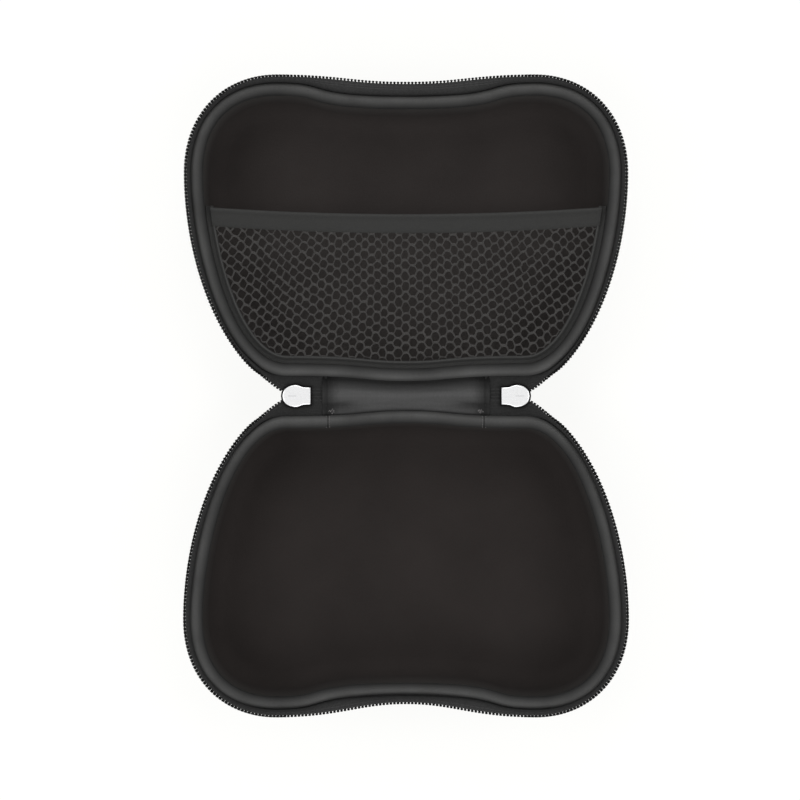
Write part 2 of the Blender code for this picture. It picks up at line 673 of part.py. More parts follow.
def net_holes(outline):
    """Six-sided holes with flat tops, in columns that step by half a hole, clear of the net's edge."""
    half_height = (MESH_PITCH_Y - STRAND) / 2
    half_flat = MESH_PITCH_X / 3 - STRAND / 4
    half_width = MESH_PITCH_X * 2 / 3 - STRAND / 2
    columns = int(SIDE_X / MESH_PITCH_X)
    rows = int(BAND_TOP_Y / MESH_PITCH_Y)
    first_y = min(y for _, y in outline) + NET_MARGIN + MESH_PITCH_Y / 2
    holes = []
    for column in range(-columns, columns + 1):
        for row in range(rows + 1):
            x = column * MESH_PITCH_X
            y = first_y + (row + 0.5 * (column % 2)) * MESH_PITCH_Y
            upper, lower = y + half_height, y - half_height
            hole = [(x - half_width, y), (x - half_flat, upper), (x + half_flat, upper),
                    (x + half_width, y), (x + half_flat, lower), (x - half_flat, lower)]
            if all(inside(corner, outline, NET_MARGIN) for corner in hole):
                holes.append(hole)
    return holes


def build_net(parts):
    """Net wall of the pocket: a flat outline with its holes, given its thickness."""
    outline = net_outline()
    drawing = bpy.data.curves.new("pocket_net_drawing", "CURVE")
    drawing.dimensions = "2D"
    drawing.fill_mode = "BOTH"
    drawing.extrude = NET_THICK / 2
    for points in [outline] + net_holes(outline):
        spline = drawing.splines.new("POLY")
        spline.points.add(len(points) - 1)
        spline.use_cyclic_u = True
        for target, (x, y) in zip(spline.points, points):
            target.co = (x, y, 0.0, 1.0)
    sketch = bpy.data.objects.new("pocket_net_drawing", drawing)
    parts.objects.link(sketch)
    evaluated = sketch.evaluated_get(bpy.context.evaluated_depsgraph_get())
    bm = bmesh.new()
    bm.from_mesh(bpy.data.meshes.new_from_object(evaluated))
    bpy.data.objects.remove(sketch, do_unlink=True)
    bmesh.ops.remove_doubles(bm, verts=bm.verts, dist=WELD)
    bmesh.ops.translate(bm, verts=bm.verts, vec=(0.0, 0.0, NET_TOP - BAND_THICK / 2))
    return add_object("pocket_net", mesh_from(bm, "pocket_net"), parts, NET_YARN)


def add_axis(name, y, children, parts):
    """Empty on a fold line of the hinge strip that carries the pieces which turn about it."""
    axis = bpy.data.objects.new(name, None)
    axis.location = (0.0, y, FOLD_Z)
    parts.objects.link(axis)
    for child in children:
        child.parent = axis
        child.matrix_parent_inverse = Matrix.Translation(axis.location).inverted()


def main():
    clear_scene()
    parts = bpy.data.collections.new("controller_case")
    guides = bpy.data.collections.new("guides")
    bpy.context.scene.collection.children.link(parts)
    bpy.context.scene.collection.children.link(guides)
    halves = {}
    for label, side in (("base", BASE), ("lid", LID)):
        halves[side] = [
            build_shell(label + "_shell", side, parts),
            build_tape(label + "_zip_tape", side, parts),
            build_coil(label + "_zip_coil", side, parts),
        ]
    build_lip("base_lip_binding", BASE, parts, far_run, closed=False)
    build_lip("base_hinge_binding", BASE, parts, hinge_run, closed=False)
    lid_lip = build_lip("lid_lip_binding", LID, parts, mirrored_ring, closed=True)
    strip = [build_hinge_cloth(parts)]
    for label, hand in (("left", -1), ("right", 1)):
        strip.append(build_zip_end(label + "_zip_end", hand, parts, guides))
        build_slider(label + "_slider", hand, parts, guides)
        build_pull(label + "_pull", hand, parts, guides)
    pocket = [build_band(parts), build_pocket_edge(parts), build_net(parts)]
    add_axis("base_fold_line", BASE * FOLD_Y, strip, parts)
    add_axis("lid_fold_line", LID * FOLD_Y, [lid_lip] + halves[LID] + pocket, parts)


main()
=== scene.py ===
"""Dressed model of a moulded zip case for a game controller, lying open on its two backs."""
import math

import bmesh
import bpy
import numpy as np
from mathutils import Matrix, Vector, noise
from mathutils.geometry import interpolate_bezier


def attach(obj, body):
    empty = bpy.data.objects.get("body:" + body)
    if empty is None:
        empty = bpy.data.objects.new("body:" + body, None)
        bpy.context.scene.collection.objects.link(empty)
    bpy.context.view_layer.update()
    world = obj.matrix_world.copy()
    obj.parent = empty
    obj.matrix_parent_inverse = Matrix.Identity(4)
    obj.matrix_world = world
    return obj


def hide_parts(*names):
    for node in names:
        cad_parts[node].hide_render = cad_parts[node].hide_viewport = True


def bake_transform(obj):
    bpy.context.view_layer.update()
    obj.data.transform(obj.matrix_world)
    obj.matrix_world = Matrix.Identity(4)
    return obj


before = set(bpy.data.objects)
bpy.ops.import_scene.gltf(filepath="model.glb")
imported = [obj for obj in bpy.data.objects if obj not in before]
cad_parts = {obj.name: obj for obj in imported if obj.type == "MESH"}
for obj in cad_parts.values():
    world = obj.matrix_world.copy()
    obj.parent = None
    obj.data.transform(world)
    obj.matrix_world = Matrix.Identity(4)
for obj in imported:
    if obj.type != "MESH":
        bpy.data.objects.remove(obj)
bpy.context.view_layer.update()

# Fixes the soft random directions, which otherwise change with the clock
noise.seed_set(7)

BASE, LID = -1, 1
HALVES = (("base", BASE), ("lid", LID))
MM = 0.001

# The camera looks straight down; a pixel of the photograph is 0.4 mm at the height of the rims
PIXEL = 0.0004
FRAME_WIDTH = 800 * PIXEL
CAMERA_ABOVE = 1.30
SENSOR = 36.0
CENTRE = (-0.0024, -0.0016)

# Right-hand halves of the drawn lines: place, direction of travel, handle before, handle after
OUTLINE = (
    (0.0, 0.1193, 0, 0.0430, 0.0430),
    (0.0517, 0.1247, 0, 0.0224, 0.0197),
    (0.0857, 0.0890, -90, 0.0240, 0.0262),
    (0.0473, 0.0086, 180, 0.0272, 0.0304),
    (0.0, 0.0065, 180, 0.0175, 0.0175),
)
TIPS = (
    (0.0, 0.1242, 0, 0.0200, 0.0200),
    (0.0517, 0.1283, 0, 0.0264, 0.0203),
    (0.0888, 0.0890, -90, 0.0240, 0.0408),
    (0.0501, 0.0015, 210, 0.0243, 0.0),
)
STATIONS = (24, 36, 56, 26)
CROWDING = (1.0, 1.0, 1.6, 1.0)

RIM_Z, RIM_STRAIGHT, WALL, DRAFT, BACK_ROUND = 0.0270, 0.0040, 0.0042, 0.0013, 0.0125
LIP_Z, LIP_WIDTH, LIP_HEIGHT, LIP_PROUD = 0.0282, 0.0044, 0.0021, 0.0005
FAR_PROUD, SIDE_PROUD = {BASE: -0.0006, LID: -0.0001}, {BASE: 0.0005, LID: 0.0002}
FLANGE_Z, FLANGE, BEND_OUT, TAPE = 0.0276, 0.0032, 0.0006, 0.0006
BAND_RISE, STAND_LENGTH = 0.0053, 0.0200
TOOTH_PITCH, TOOTH_REACH, FLAT_REACH = 0.00142, 0.00080, 0.00060
TOOTH_THICK, TOOTH_DROP = 0.00050, 0.00029
COIL_OUT, COIL_DOWN = 0.0009, 0.00125
STRIP_Z = 0.0277
NET_TOP = 0.0266


# ---- drawn lines

def lengths(points):
    """Distance of every point along its line."""
    return np.concatenate([[0.0], np.cumsum(np.linalg.norm(np.diff(points, axis=0), axis=1))])


def along_line(line, wanted, run=None):
    """Places at wanted distances along a line."""
    run = lengths(line) if run is None else run
    return np.column_stack([np.interp(wanted, run, part) for part in line.T])


def drawn(knots):
    """Points along the right-hand half of a line, from the far middle on."""
    points = []
    for number, (here, there) in enumerate(zip(knots, knots[1:])):
        start, end = Vector(here[:2]), Vector(there[:2])
        leave, arrive = math.radians(here[2]), math.radians(there[2])
        handle_1 = start + Vector((math.cos(leave), math.sin(leave))) * here[4]
        handle_2 = end - Vector((math.cos(arrive), math.sin(arrive))) * there[3]
        fine = np.array([p[:2] for p in interpolate_bezier(
            *(v.to_3d() for v in (start, handle_1, handle_2, end)), 257)])
        count = STATIONS[number]
        share = 1.0 - (1.0 - np.arange(count) / count) ** CROWDING[number]
        points.append(along_line(fine, lengths(fine)[-1] * share))
    return np.vstack(points + [np.array([knots[-1][:2]])])


RIGHT_OUTLINE = drawn(OUTLINE)
RIGHT_TIPS = drawn(TIPS)


def outline(inset):
    """The outline's right-hand half, moved in by the same distance everywhere."""
    points = RIGHT_OUTLINE
    around = np.vstack([points[1] * (-1, 1), points, points[-2] * (-1, 1)])
    steps = np.diff(around, axis=0)
    steps /= np.linalg.norm(steps, axis=1)[:, None]
    inward = np.column_stack([steps[:, 1], -steps[:, 0]])
    corner = inward[:-1] + inward[1:]
    corner *= 2 / (corner ** 2).sum(axis=1)[:, None]
    return points + corner * inset


def mirrored_run(right):
    """Right end over the far middle to the left end, from a right-hand half."""
    return np.vstack([right[::-1], right[1:] * ([-1.0] + [1.0] * (right.shape[1] - 1))])


def mirrored_ring(right):
    return np.vstack([right, right[-2:0:-1] * (-1, 1)])


def at_side(points, side):
    return points * np.array([1.0, side, 1.0])[:points.shape[-1]]


def raised(points, z):
    return np.column_stack([points, np.full(len(points), z)])


def hinge_line(inset):
    """Distance of the outline from the hinge, over a place along it."""
    right = outline(inset)[-STATIONS[3] - 1:][::-1]
    return lambda x: np.interp(abs(x), right[:, 0], right[:, 1])


LIP_LINE = hinge_line(0.0)

# Where a tape's edge runs inside the slider, round its diamond, and on to the closed end
CLOSED_EDGE = ((0.0488, 0.00185), (0.0470, 0.00160), (0.0418, 0.00150), (0.0405, 0.00100),
               (0.0393, 0.00002), (0.0316, 0.0))

# The lid's soft tape leans out more along the far side than the base's, and less along its sides
FAR_LEAN = {BASE: -0.0012, LID: 0.0013}
TIPS_IN = {BASE: 1.0, LID: 0.9948}


def bell(offset, width):
    """1 on a line, falling off softly to both sides of it."""
    return np.exp(-(offset / width) ** 2)


def within(value, start, length):
    """0 up to a start, then rising evenly to 1 over a length."""
    return min(1.0, max(0.0, (value - start) / length))


def eased(share):
    return share ** 2 * (3 - 2 * share)


def clouds(*place):
    """Soft random value at a place, the same each run."""
    return noise.noise(Vector(place))


def drift(*place):
    """Soft random direction at a place, the same each run."""
    return noise.noise_vector(Vector(place))


def band_frames(half):
    """Along the right half of a zip tape: its flange, bend, edge and the line of its teeth's tips, and
    the band's out and under directions."""
    count = sum(STATIONS[:3]) + 1
    bend_line = outline(-BEND_OUT)[:count]
    far_side = bell(RIGHT_TIPS[:, :1], 0.026) * (RIGHT_TIPS[:, 1:] > 0.1)
    to_tips = RIGHT_TIPS * (TIPS_IN[half], 1.0) + far_side * (0.0, FAR_LEAN[half]) - bend_line
    distance = np.linalg.norm(to_tips, axis=1)
    level = to_tips / distance[:, None]
    distance = distance - 0.0002
    left = lengths(RIGHT_TIPS)
    turned = eased(np.clip((left[-1] - left) / STAND_LENGTH, 0, 1))
    rise = BAND_RISE * turned
    lean = np.arctan2(rise, distance)
    for _ in range(12):
        run = distance - COIL_OUT * np.cos(lean) - COIL_DOWN * np.sin(lean)
        lean = np.arctan2(rise, run)
    bend = raised(bend_line, FLANGE_Z)
    edge = bend + np.column_stack([level * run[:, None], rise])
    out = np.column_stack([level * np.cos(lean)[:, None], np.sin(lean)])
    under = np.column_stack([level * np.sin(lean)[:, None], -np.cos(lean)])
    tip = edge + out * COIL_OUT + under * (COIL_DOWN - TOOTH_DROP - TOOTH_THICK) * turned[:, None]
    edge = tip - out * (FLAT_REACH + (TOOTH_REACH - FLAT_REACH) * turned)[:, None]
    flange = raised(outline(FLANGE)[:count], FLANGE_Z)

    # the closed stretch on the hinge strip, over the slider's diamond
    path = np.array(CLOSED_EDGE)
    xs = np.linspace(0.0490, 0.0316, 30)
    on = np.linspace(0.0466, 0.0316, 30)
    more_edge = raised(np.column_stack([xs, np.interp(xs, path[::-1, 0], path[::-1, 1])]), STRIP_Z)
    more_flange, more_bend = (raised(np.column_stack([on, hinge_line(inset)(on)]), FLANGE_Z)
                              for inset in (FLANGE, -BEND_OUT))
    level = (more_edge - more_bend) * (1, 1, 0)
    level /= np.linalg.norm(level, axis=1)[:, None]
    more_under = np.tile([0.0, 0.0, -1.0], (len(on), 1))
    return [np.vstack(pair) for pair in (
        (flange, more_flange), (bend, more_bend), (edge, more_edge), (tip, more_edge + level * FLAT_REACH),
        (out, level), (under, more_under))]


# ---- shaping helpers

def pick(*objects):
    bpy.ops.object.select_all(action="DESELECT")
    for obj in objects:
        obj.select_set(True)
    bpy.context.view_layer.objects.active = objects[-1]


class editing:
    """Edit mode on one object, with everything or nothing selected at the start."""

    def __init__(self, obj, select="SELECT"):
        self.obj, self.select = obj, select

    def __enter__(self):
        pick(self.obj)
        bpy.ops.object.mode_set(mode="EDIT")
        bpy.ops.mesh.select_mode(type="FACE" if self.select == "FACES" else "VERT")
        bpy.ops.mesh.select_all(action="SELECT" if self.select == "SELECT" else "DESELECT")
        return self

    def __exit__(self, *_):
        bpy.ops.object.mode_set(mode="OBJECT")


def modify(obj, kind, **settings):
    """Add a modifier and apply it."""
    pick(obj)
    modifier = obj.modifiers.new(kind.title(), kind)
    for key, value in settings.items():
        setattr(modifier, key, value)
    bpy.ops.object.modifier_apply(modifier=modifier.name)


def face_out(obj, merge=0.00001):
    with editing(obj):
        bpy.ops.mesh.remove_doubles(threshold=merge)
        bpy.ops.mesh.normals_make_consistent(inside=False)


def smooth(obj, angle=60):
    pick(obj)
    bpy.ops.object.shade_smooth_by_angle(angle=math.radians(angle))


def paint(obj, *materials):
    obj.data.materials.clear()
    for material in materials:
        obj.data.materials.append(material)


def start(kind, name, **settings):
    """A fresh cube, circle, grid or plane to model from."""
    bpy.ops.object.select_all(action="DESELECT")
    getattr(bpy.ops.mesh, f"primitive_{kind}_add")(**settings)
    obj = bpy.context.object
    obj.name = obj.data.name = name
    return obj


def linked(name, data):
    obj = bpy.data.objects.new(name, data)
    bpy.context.scene.collection.objects.link(obj)
    return obj


def flat_face(name, ring, z, up):
    """One face inside a drawn ring, looking up or down."""
    obj = start("circle", name, vertices=len(ring), fill_type="NGON")
    for vertex, (x, y) in zip(obj.data.vertices, ring):
        vertex.co = (x, y, z)
    obj.data.update()
    if (obj.data.polygons[0].normal.z > 0) != up:
        with editing(obj):
            bpy.ops.mesh.flip_normals()
    return obj


def choose_faces(obj, wanted):
    """Select the faces in edit mode whose middle passes a test."""
    bm = bmesh.from_edit_mesh(obj.data)
    for face in bm.faces:
        face.select_set(wanted(face.calc_center_median()))
    bmesh.update_edit_mesh(obj.data)


def extrude_by(*way):
    bpy.ops.mesh.extrude_region_move(TRANSFORM_OT_translate={"value": way})


def inset_along(profile):
    """Inset and raise the selected face step by step, along a profile of insets and heights."""
    before = (0.0, 0.0)
    for now in profile:
        bpy.ops.mesh.inset(thickness=now[0] - before[0], depth=now[1] - before[1])
        before = now


def close_ends(obj):
    """Fill a strip's open ends."""
    with editing(obj, "NONE"):
        bpy.ops.mesh.select_non_manifold()
        bpy.ops.mesh.fill_holes(sides=80)
        bpy.ops.mesh.select_all(action="SELECT")
        bpy.ops.mesh.normals_make_consistent(inside=False)
    smooth(obj)


def sheet_on(name, rows, around=False):
    """Grid whose rows lie on given lines, with a UV map in metres along and across them."""
    rows = [np.asarray(row, float) for row in rows]
    if around:
        rows.append(rows[0])
    across, along = len(rows), len(rows[0])
    obj = start("grid", name, x_subdivisions=along - 1, y_subdivisions=across - 1, size=1.0)
    mesh = obj.data
    middle = rows[across // 2]
    run = lengths(middle)
    width = lengths(np.array([row[along // 2] for row in rows]))
    index = [(round((v.co.x + 0.5) * (along - 1)), round((v.co.y + 0.5) * (across - 1)))
             for v in mesh.vertices]
    for vertex, (i, j) in zip(mesh.vertices, index):
        vertex.co = rows[j][i]
    uv = mesh.uv_layers[0].data
    for polygon in mesh.polygons:
        for loop in polygon.loop_indices:
            i, j = index[mesh.loops[loop].vertex_index]
            uv[loop].uv = (run[i], width[j])
    return obj


def cut_area(rows):
    """Flat area of a sheet that lies on given lines."""
    rows = [np.asarray(row, float) for row in rows]
    along = sum(np.linalg.norm(np.diff(row, axis=0), axis=1) for row in rows) / len(rows)
    across = sum(np.linalg.norm(after - before, axis=1) for before, after in zip(rows, rows[1:]))
    return float((along * (across[1:] + across[:-1]) / 2).sum())


def joined(name, objects):
    """Several objects made into one."""
    pick(*objects)
    bpy.ops.object.join()
    obj = bpy.context.object
    obj.name = obj.data.name = name
    return obj


def copies(name, model, matrices):
    """One joined mesh of a modelled piece, repeated at many places."""
    bm = bmesh.new()
    for matrix in matrices:
        first = len(bm.verts)
        bm.from_mesh(model.data)
        bm.verts.ensure_lookup_table()
        bmesh.ops.transform(bm, matrix=matrix, verts=bm.verts[first:])
    mesh = bpy.data.meshes.new(name)
    bm.to_mesh(mesh)
    bm.free()
    return linked(name, mesh)


def shade_by(obj, shade_of):
    """Store painted light and shade at each point of a cloth: lighter on crests and edges, darker in
    creases.
    """
    values = shade_of(np.array([v.co for v in obj.data.vertices]))
    attribute = obj.data.attributes.new("shade", "FLOAT", "POINT")
    attribute.data.foreach_set("value", np.asarray(values, np.float32))


def beside_outline(points):
    """Distance of places inwards from the outline, and the way outwards there."""
    flat = np.abs(points[:, :2])
    start, step = RIGHT_OUTLINE[:-1], np.diff(RIGHT_OUTLINE, axis=0)
    share = np.clip(((flat[:, None] - start) * step).sum(2) / (step ** 2).sum(1), 0, 1)
    gap = flat[:, None] - (start + share[..., None] * step)
    nearest = (gap ** 2).sum(2).argmin(axis=1)
    out = np.column_stack([-step[:, 1], step[:, 0]])[nearest]
    out /= np.linalg.norm(out, axis=1)[:, None]
    inset = -(gap[np.arange(len(points)), nearest] * out).sum(1)
    return inset, out * np.where(points[:, :2] < 0, -1.0, 1.0)


def dress(obj, material, body=None, replaces=()):
    paint(obj, material)
    if body:
        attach(obj, body)
    if replaces:
        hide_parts(*replaces)
    return obj


# ---- shader groups

def put(socket, value):
    """Feed an input with another node's value, or set its number."""
    if isinstance(value, bpy.types.NodeSocket):
        socket.id_data.links.new(value, socket)
    else:
        socket.default_value = value


def adder(tree):
    """A short way to add nodes to a tree."""

    def add(kind, settings=None, **inputs):
        node = tree.nodes.new("ShaderNode" + kind)
        for key, value in (settings or {}).items():
            setattr(node, key, value)
        for key, value in inputs.items():
            put(node.inputs[key.replace("_", " ")], value)
        return node

    return add


def maths(operation, *values):
    """A maths node on values of which at least one comes out of a node."""
    tree = next(value.id_data for value in values if isinstance(value, bpy.types.NodeSocket))
    node = tree.nodes.new("ShaderNodeMath")
    node.operation = operation
    for socket, value in zip(node.inputs, values):
        put(socket, value)
    return node.outputs[0]


def plus(first, *others):
    for other in others:
        first = maths("ADD", first, other)
    return first


def less(first, other):
    return maths("SUBTRACT", first, other)


def times(first, *others):
    for other in others:
        first = maths("MULTIPLY", first, other)
    return first


def new_group(name, inputs, outputs):
    """A shader group, its inputs, and short ways to add its nodes and to put out its values."""
    group = bpy.data.node_groups.new(name, "ShaderNodeTree")
    for label, value in inputs.items():
        kind = "NodeSocketVector" if value is None else "NodeSocketFloat"
        socket = group.interface.new_socket(name=label, in_out="INPUT", socket_type=kind)
        if value is not None:
            socket.default_value = value
    for label in outputs:
        group.interface.new_socket(name=label, in_out="OUTPUT", socket_type="NodeSocketFloat")
    into, out = group.nodes.new("NodeGroupInput"), group.nodes.new("NodeGroupOutput")

    def give(**values):
        for label, value in values.items():
            put(out.inputs[label], value)

    return group, into.outputs, adder(group), give


def weave_group():
    """Plain weave on a flat pattern: warp and weft threads that pass over each other in turn."""
    group, into, add, give = new_group("weave", {"Vector": None, "Pitch": 0.0005}, ("Height", "Thread"))
    split = add("SeparateXYZ", Vector=into["Vector"]).outputs
    u, v = (maths("DIVIDE", split[axis], into["Pitch"]) for axis in "XY")
    heights = []
    for mine, other, sign in ((u, v, 1.0), (v, u, -1.0)):
        round_thread = maths("SINE", times(maths("FRACT", mine), math.pi))
        turn = plus(less(other, 0.5), maths("FLOOR", mine))
        over = times(maths("COSINE", times(turn, math.pi)), 0.5 * sign)
        heights.append(times(round_thread, plus(over, 0.5)))
    cell = add("CombineXYZ", X=maths("FLOOR", u), Y=maths("FLOOR", v)).outputs[0]
    thread = add("TexWhiteNoise", {"noise_dimensions": "2D"}, Vector=cell)
    give(Height=maths("MAXIMUM", *heights), Thread=thread.outputs["Value"])
    return group


def nap_group():
    """Short brushed fibres and soft clouds of lighter and darker cloth."""
    group, into, add, give = new_group("nap", {"Vector": None, "Fibre": 0.0004}, ("Height", "Cloud"))
    scale = maths("DIVIDE", 1.0, into["Fibre"])
    fibres = add("TexNoise", Vector=into["Vector"], Scale=scale, Detail=3.0, Roughness=0.6)
    dye = add("TexNoise", Vector=into["Vector"], Scale=28.0, Detail=3.0, Roughness=0.55)
    give(Height=fibres.outputs["Fac"], Cloud=dye.outputs["Fac"])
    return group


def all_round_group(weave):
    """The weave laid on a solid from its three directions, each where the surface faces it."""
    group, into, add, give = new_group("weave_all_round", {"Vector": None, "Normal": None, "Pitch": 0.0006},
                                       ("Height", "Thread"))
    place = add("SeparateXYZ", Vector=into["Vector"]).outputs
    facing = add("SeparateXYZ", Vector=into["Normal"]).outputs
    shares = {"Height": [], "Thread": []}
    for first, second, towards in ("XYZ", "YZX", "XZY"):
        flat = add("CombineXYZ", X=place[first], Y=place[second]).outputs[0]
        cloth = add("Group", {"node_tree": weave}, Vector=flat, Pitch=into["Pitch"]).outputs
        share = maths("POWER", maths("ABSOLUTE", facing[towards]), 6.0)
        for label in shares:
            shares[label].append(times(cloth[label], share))
    give(**{label: plus(*values) for label, values in shares.items()})
    return group


def stitch_group():
    """A row of stitches along a strip: short raised threads with a gap between them."""
    group, into, add, give = new_group(
        "stitches", {"Vector": None, "Row": 0.001, "Pitch": 0.0024, "Width": 0.0003}, ("Mask",))
    split = add("SeparateXYZ", Vector=into["Vector"]).outputs
    along = maths("ABSOLUTE", less(maths("FRACT", maths("DIVIDE", split["X"], into["Pitch"])), 0.5))
    along = maths("MAXIMUM", times(less(along, 0.30), into["Pitch"]), 0.0)
    across = less(split["Y"], into["Row"])
    distance = maths("SQRT", plus(maths("POWER", along, 2.0), maths("POWER", across, 2.0)))
    ratio = maths("DIVIDE", distance, into["Width"])
    give(Mask=maths("SQRT", maths("MAXIMUM", less(1.0, maths("POWER", ratio, 2.0)), 0.0)))
    return group


WEAVE = weave_group()
NAP = nap_group()
ALL_ROUND = all_round_group(WEAVE)
STITCHES = stitch_group()


def shade(colour, factor):
    return tuple(min(1.0, part * factor) for part in colour) + (1.0,)


class Finish:
    """A material in the making: a Principled shader, and short ways to add the nodes that feed it."""

    def __init__(self, name, colour, roughness, specular, metallic=0.0):
        self.material = bpy.data.materials.new(name)
        self.material.use_nodes = True
        self.material.diffuse_color = (*colour, 1.0)
        self.tree, self.colour = self.material.node_tree, colour
        self.shader = self.tree.nodes["Principled BSDF"]
        for label, value in (("Base Color", (*colour, 1.0)), ("Roughness", roughness),
                             ("Specular IOR Level", specular), ("Metallic", metallic)):
            self.shader.inputs[label].default_value = value
        self.add = adder(self.tree)
        self.where = self.add("TexCoord").outputs

    def feed(self, label, value):
        self.tree.links.new(value, self.shader.inputs[label])

    def place(self, group, **inputs):
        """Outputs of a shader group placed with its own values."""
        return self.add("Group", {"node_tree": group}, **inputs).outputs

    def dye(self, tone, dark, light, ends=(0.0, 1.0)):
        """Colour between a dark and a light shade, by a tone."""
        ramp = self.add("ValToRGB", Fac=tone)
        for element, factor, end in zip(ramp.color_ramp.elements, (dark, light), ends):
            element.color, element.position = shade(self.colour, factor), end
        return ramp.outputs["Color"]

    def between(self, value, start, end, low=0.0, high=1.0):
        """Soft change from low to high as a value goes from start to end."""
        return self.add("MapRange", {"interpolation_type": "SMOOTHSTEP"}, Value=value, From_Min=start,
                        From_Max=end, To_Min=low, To_Max=high).outputs[0]

    def relief(self, height, strength, depth):
        bump = self.add("Bump", Height=height, Strength=strength, Distance=depth * MM)
        self.feed("Normal", bump.outputs["Normal"])


def cloth_material(name, colour, pitch, roughness=0.85, specular=0.15, depth=0.12, dark=0.45, light=1.5,
                   on_uv=True, stitch_rows=(), speckle=0.25, shaded=False):
    """Woven cloth: threads in relief with painted light on their crowns, stitch rows and uneven dye."""
    cloth = Finish(name, colour, roughness, specular)
    add, where = cloth.add, cloth.where
    if on_uv:
        weave = cloth.place(WEAVE, Vector=where["UV"], Pitch=pitch)
    else:
        weave = cloth.place(ALL_ROUND, Vector=where["Object"], Normal=where["Normal"], Pitch=pitch)
    nap = cloth.place(NAP, Vector=where["Object"], Fibre=pitch * 0.6)
    # painted light: the higher a thread stands, the lighter its colour
    tone = plus(times(weave["Height"], 1.0 - speckle), times(weave["Thread"], speckle),
                times(less(nap["Cloud"], 0.5), 0.35))
    height = plus(weave["Height"], times(nap["Height"], 0.5))
    for row in stitch_rows:
        stitch = cloth.place(STITCHES, Vector=where["UV"], Row=row, Pitch=STITCH_PITCH)["Mask"]
        tone = plus(tone, times(stitch, 0.6))
        height = plus(height, times(stitch, 2.2))
    dyed = cloth.dye(tone, dark, light)
    if shaded:
        # painted light and shade stored on the piece scales its colour
        painted_light = add("Attribute", {"attribute_name": "shade"}).outputs["Fac"]
        dyed = add("VectorMath", {"operation": "SCALE"}, Vector=dyed, Scale=painted_light).outputs[0]
    cloth.feed("Base Color", dyed)
    cloth.feed("Roughness", less(roughness + 0.06, times(weave["Height"], 0.12)))
    cloth.relief(height, 0.7, depth)
    return cloth.material


def lining_material(name, colour, painted_light_under_net=1.0):
    """Brushed lining, near black and slightly warm, with soft clouds in its nap, and painted light:
    paler towards the rim, and paler under the net to lift the net's shadow."""
    lining = Finish(name, colour, 0.95, 0.12)
    add = lining.add
    nap = lining.place(NAP, Vector=lining.where["Object"], Fibre=0.0007)
    tone = plus(times(nap["Cloud"], 0.7), times(nap["Height"], 0.3))
    place = add("SeparateXYZ", Vector=lining.where["Object"]).outputs
    # painted light: paler up the walls towards the rim, and under the net against its shadow
    paler = times(lining.between(place["Z"], 0.006, 0.025, 1.0, 1.55),
                  lining.between(place["Y"], 0.068, 0.074, painted_light_under_net, 1.0))
    cooler = plus(times(paler, 1.25), -0.25)
    tinted = add("VectorMath", {"operation": "MULTIPLY"}, Vector=lining.dye(tone, 0.85, 1.15, (0.3, 0.7)))
    lining.tree.links.new(add("CombineXYZ", X=paler, Y=cooler, Z=cooler).outputs[0], tinted.inputs[1])
    lining.feed("Base Color", tinted.outputs[0])
    lining.relief(nap["Height"], 0.5, 0.1)
    return lining.material


def net_material():
    """Knitted net: dull strands with painted glints along their crown, on the strands that the pull draws
    straight and, in the middle, on the arch over each hole."""
    net = Finish("net_yarn", (0.052, 0.050, 0.048), 0.8, 0.2)
    add = net.add
    round_and_up = add("SeparateXYZ", Vector=net.where["UV"]).outputs
    patches = net.place(NAP, Vector=net.where["Object"], Fibre=0.0028)["Height"]
    fine = net.place(NAP, Vector=net.where["Object"], Fibre=0.00030)["Height"]
    # painted glints: along the strands' crowns, in patches, stronger on strands slanting one way on each
    # side and on each hole's arch
    crown = net.between(round_and_up["Y"], 0.50, 1.0)
    patch = net.between(patches, 0.47, 0.55)
    round_hole = times(round_and_up["X"], 2 * math.tau)
    across = add("SeparateXYZ", Vector=net.where["Object"]).outputs["X"]
    half = maths("MINIMUM", maths("MAXIMUM", maths("DIVIDE", across, -0.03), -1.0), 1.0)
    slant = times(maths("SINE", round_hole), half, 0.65)
    arch = times(maths("COSINE", round_hole), -0.32)
    lit = maths("MAXIMUM", plus(slant, arch, 0.40), 0.04)
    painted_glint = times(crown, plus(times(patch, 0.9), 0.1), lit)
    tone = plus(times(painted_glint, 0.85), times(fine, 0.08))
    net.feed("Base Color", net.dye(tone, 0.22, 19.0))
    net.relief(fine, 0.6, 0.06)
    return net.material


def hard_material(name, colour, grain_size, shades, rough, relief, specular=0.5, metallic=1.0):
    """Cast metal, paint or nylon: faint grain in its colour and skin, and an uneven polish."""
    skin = Finish(name, colour, rough[0], specular, metallic)
    grain = skin.place(NAP, Vector=skin.where["Object"], Fibre=grain_size)["Height"]
    skin.feed("Base Color", skin.dye(grain, *shades))
    skin.feed("Roughness", plus(times(grain, rough[1]), rough[0]))
    skin.relief(grain, *relief)
    return skin.material


def plastic_material(name):
    """Black nylon or paint with a dull skin."""
    return hard_material(name, (0.0030, 0.0030, 0.0030), 0.0003, (0.6, 1.8), (0.38, 0.25), (0.3, 0.03),
                         specular=0.07, metallic=0.0)


def metal_material(name, colour, roughness):
    """Bright plated casting."""
    return hard_material(name, colour, 0.0008, (0.93, 1.03), (roughness - 0.1, 0.2), (0.15, 0.04))


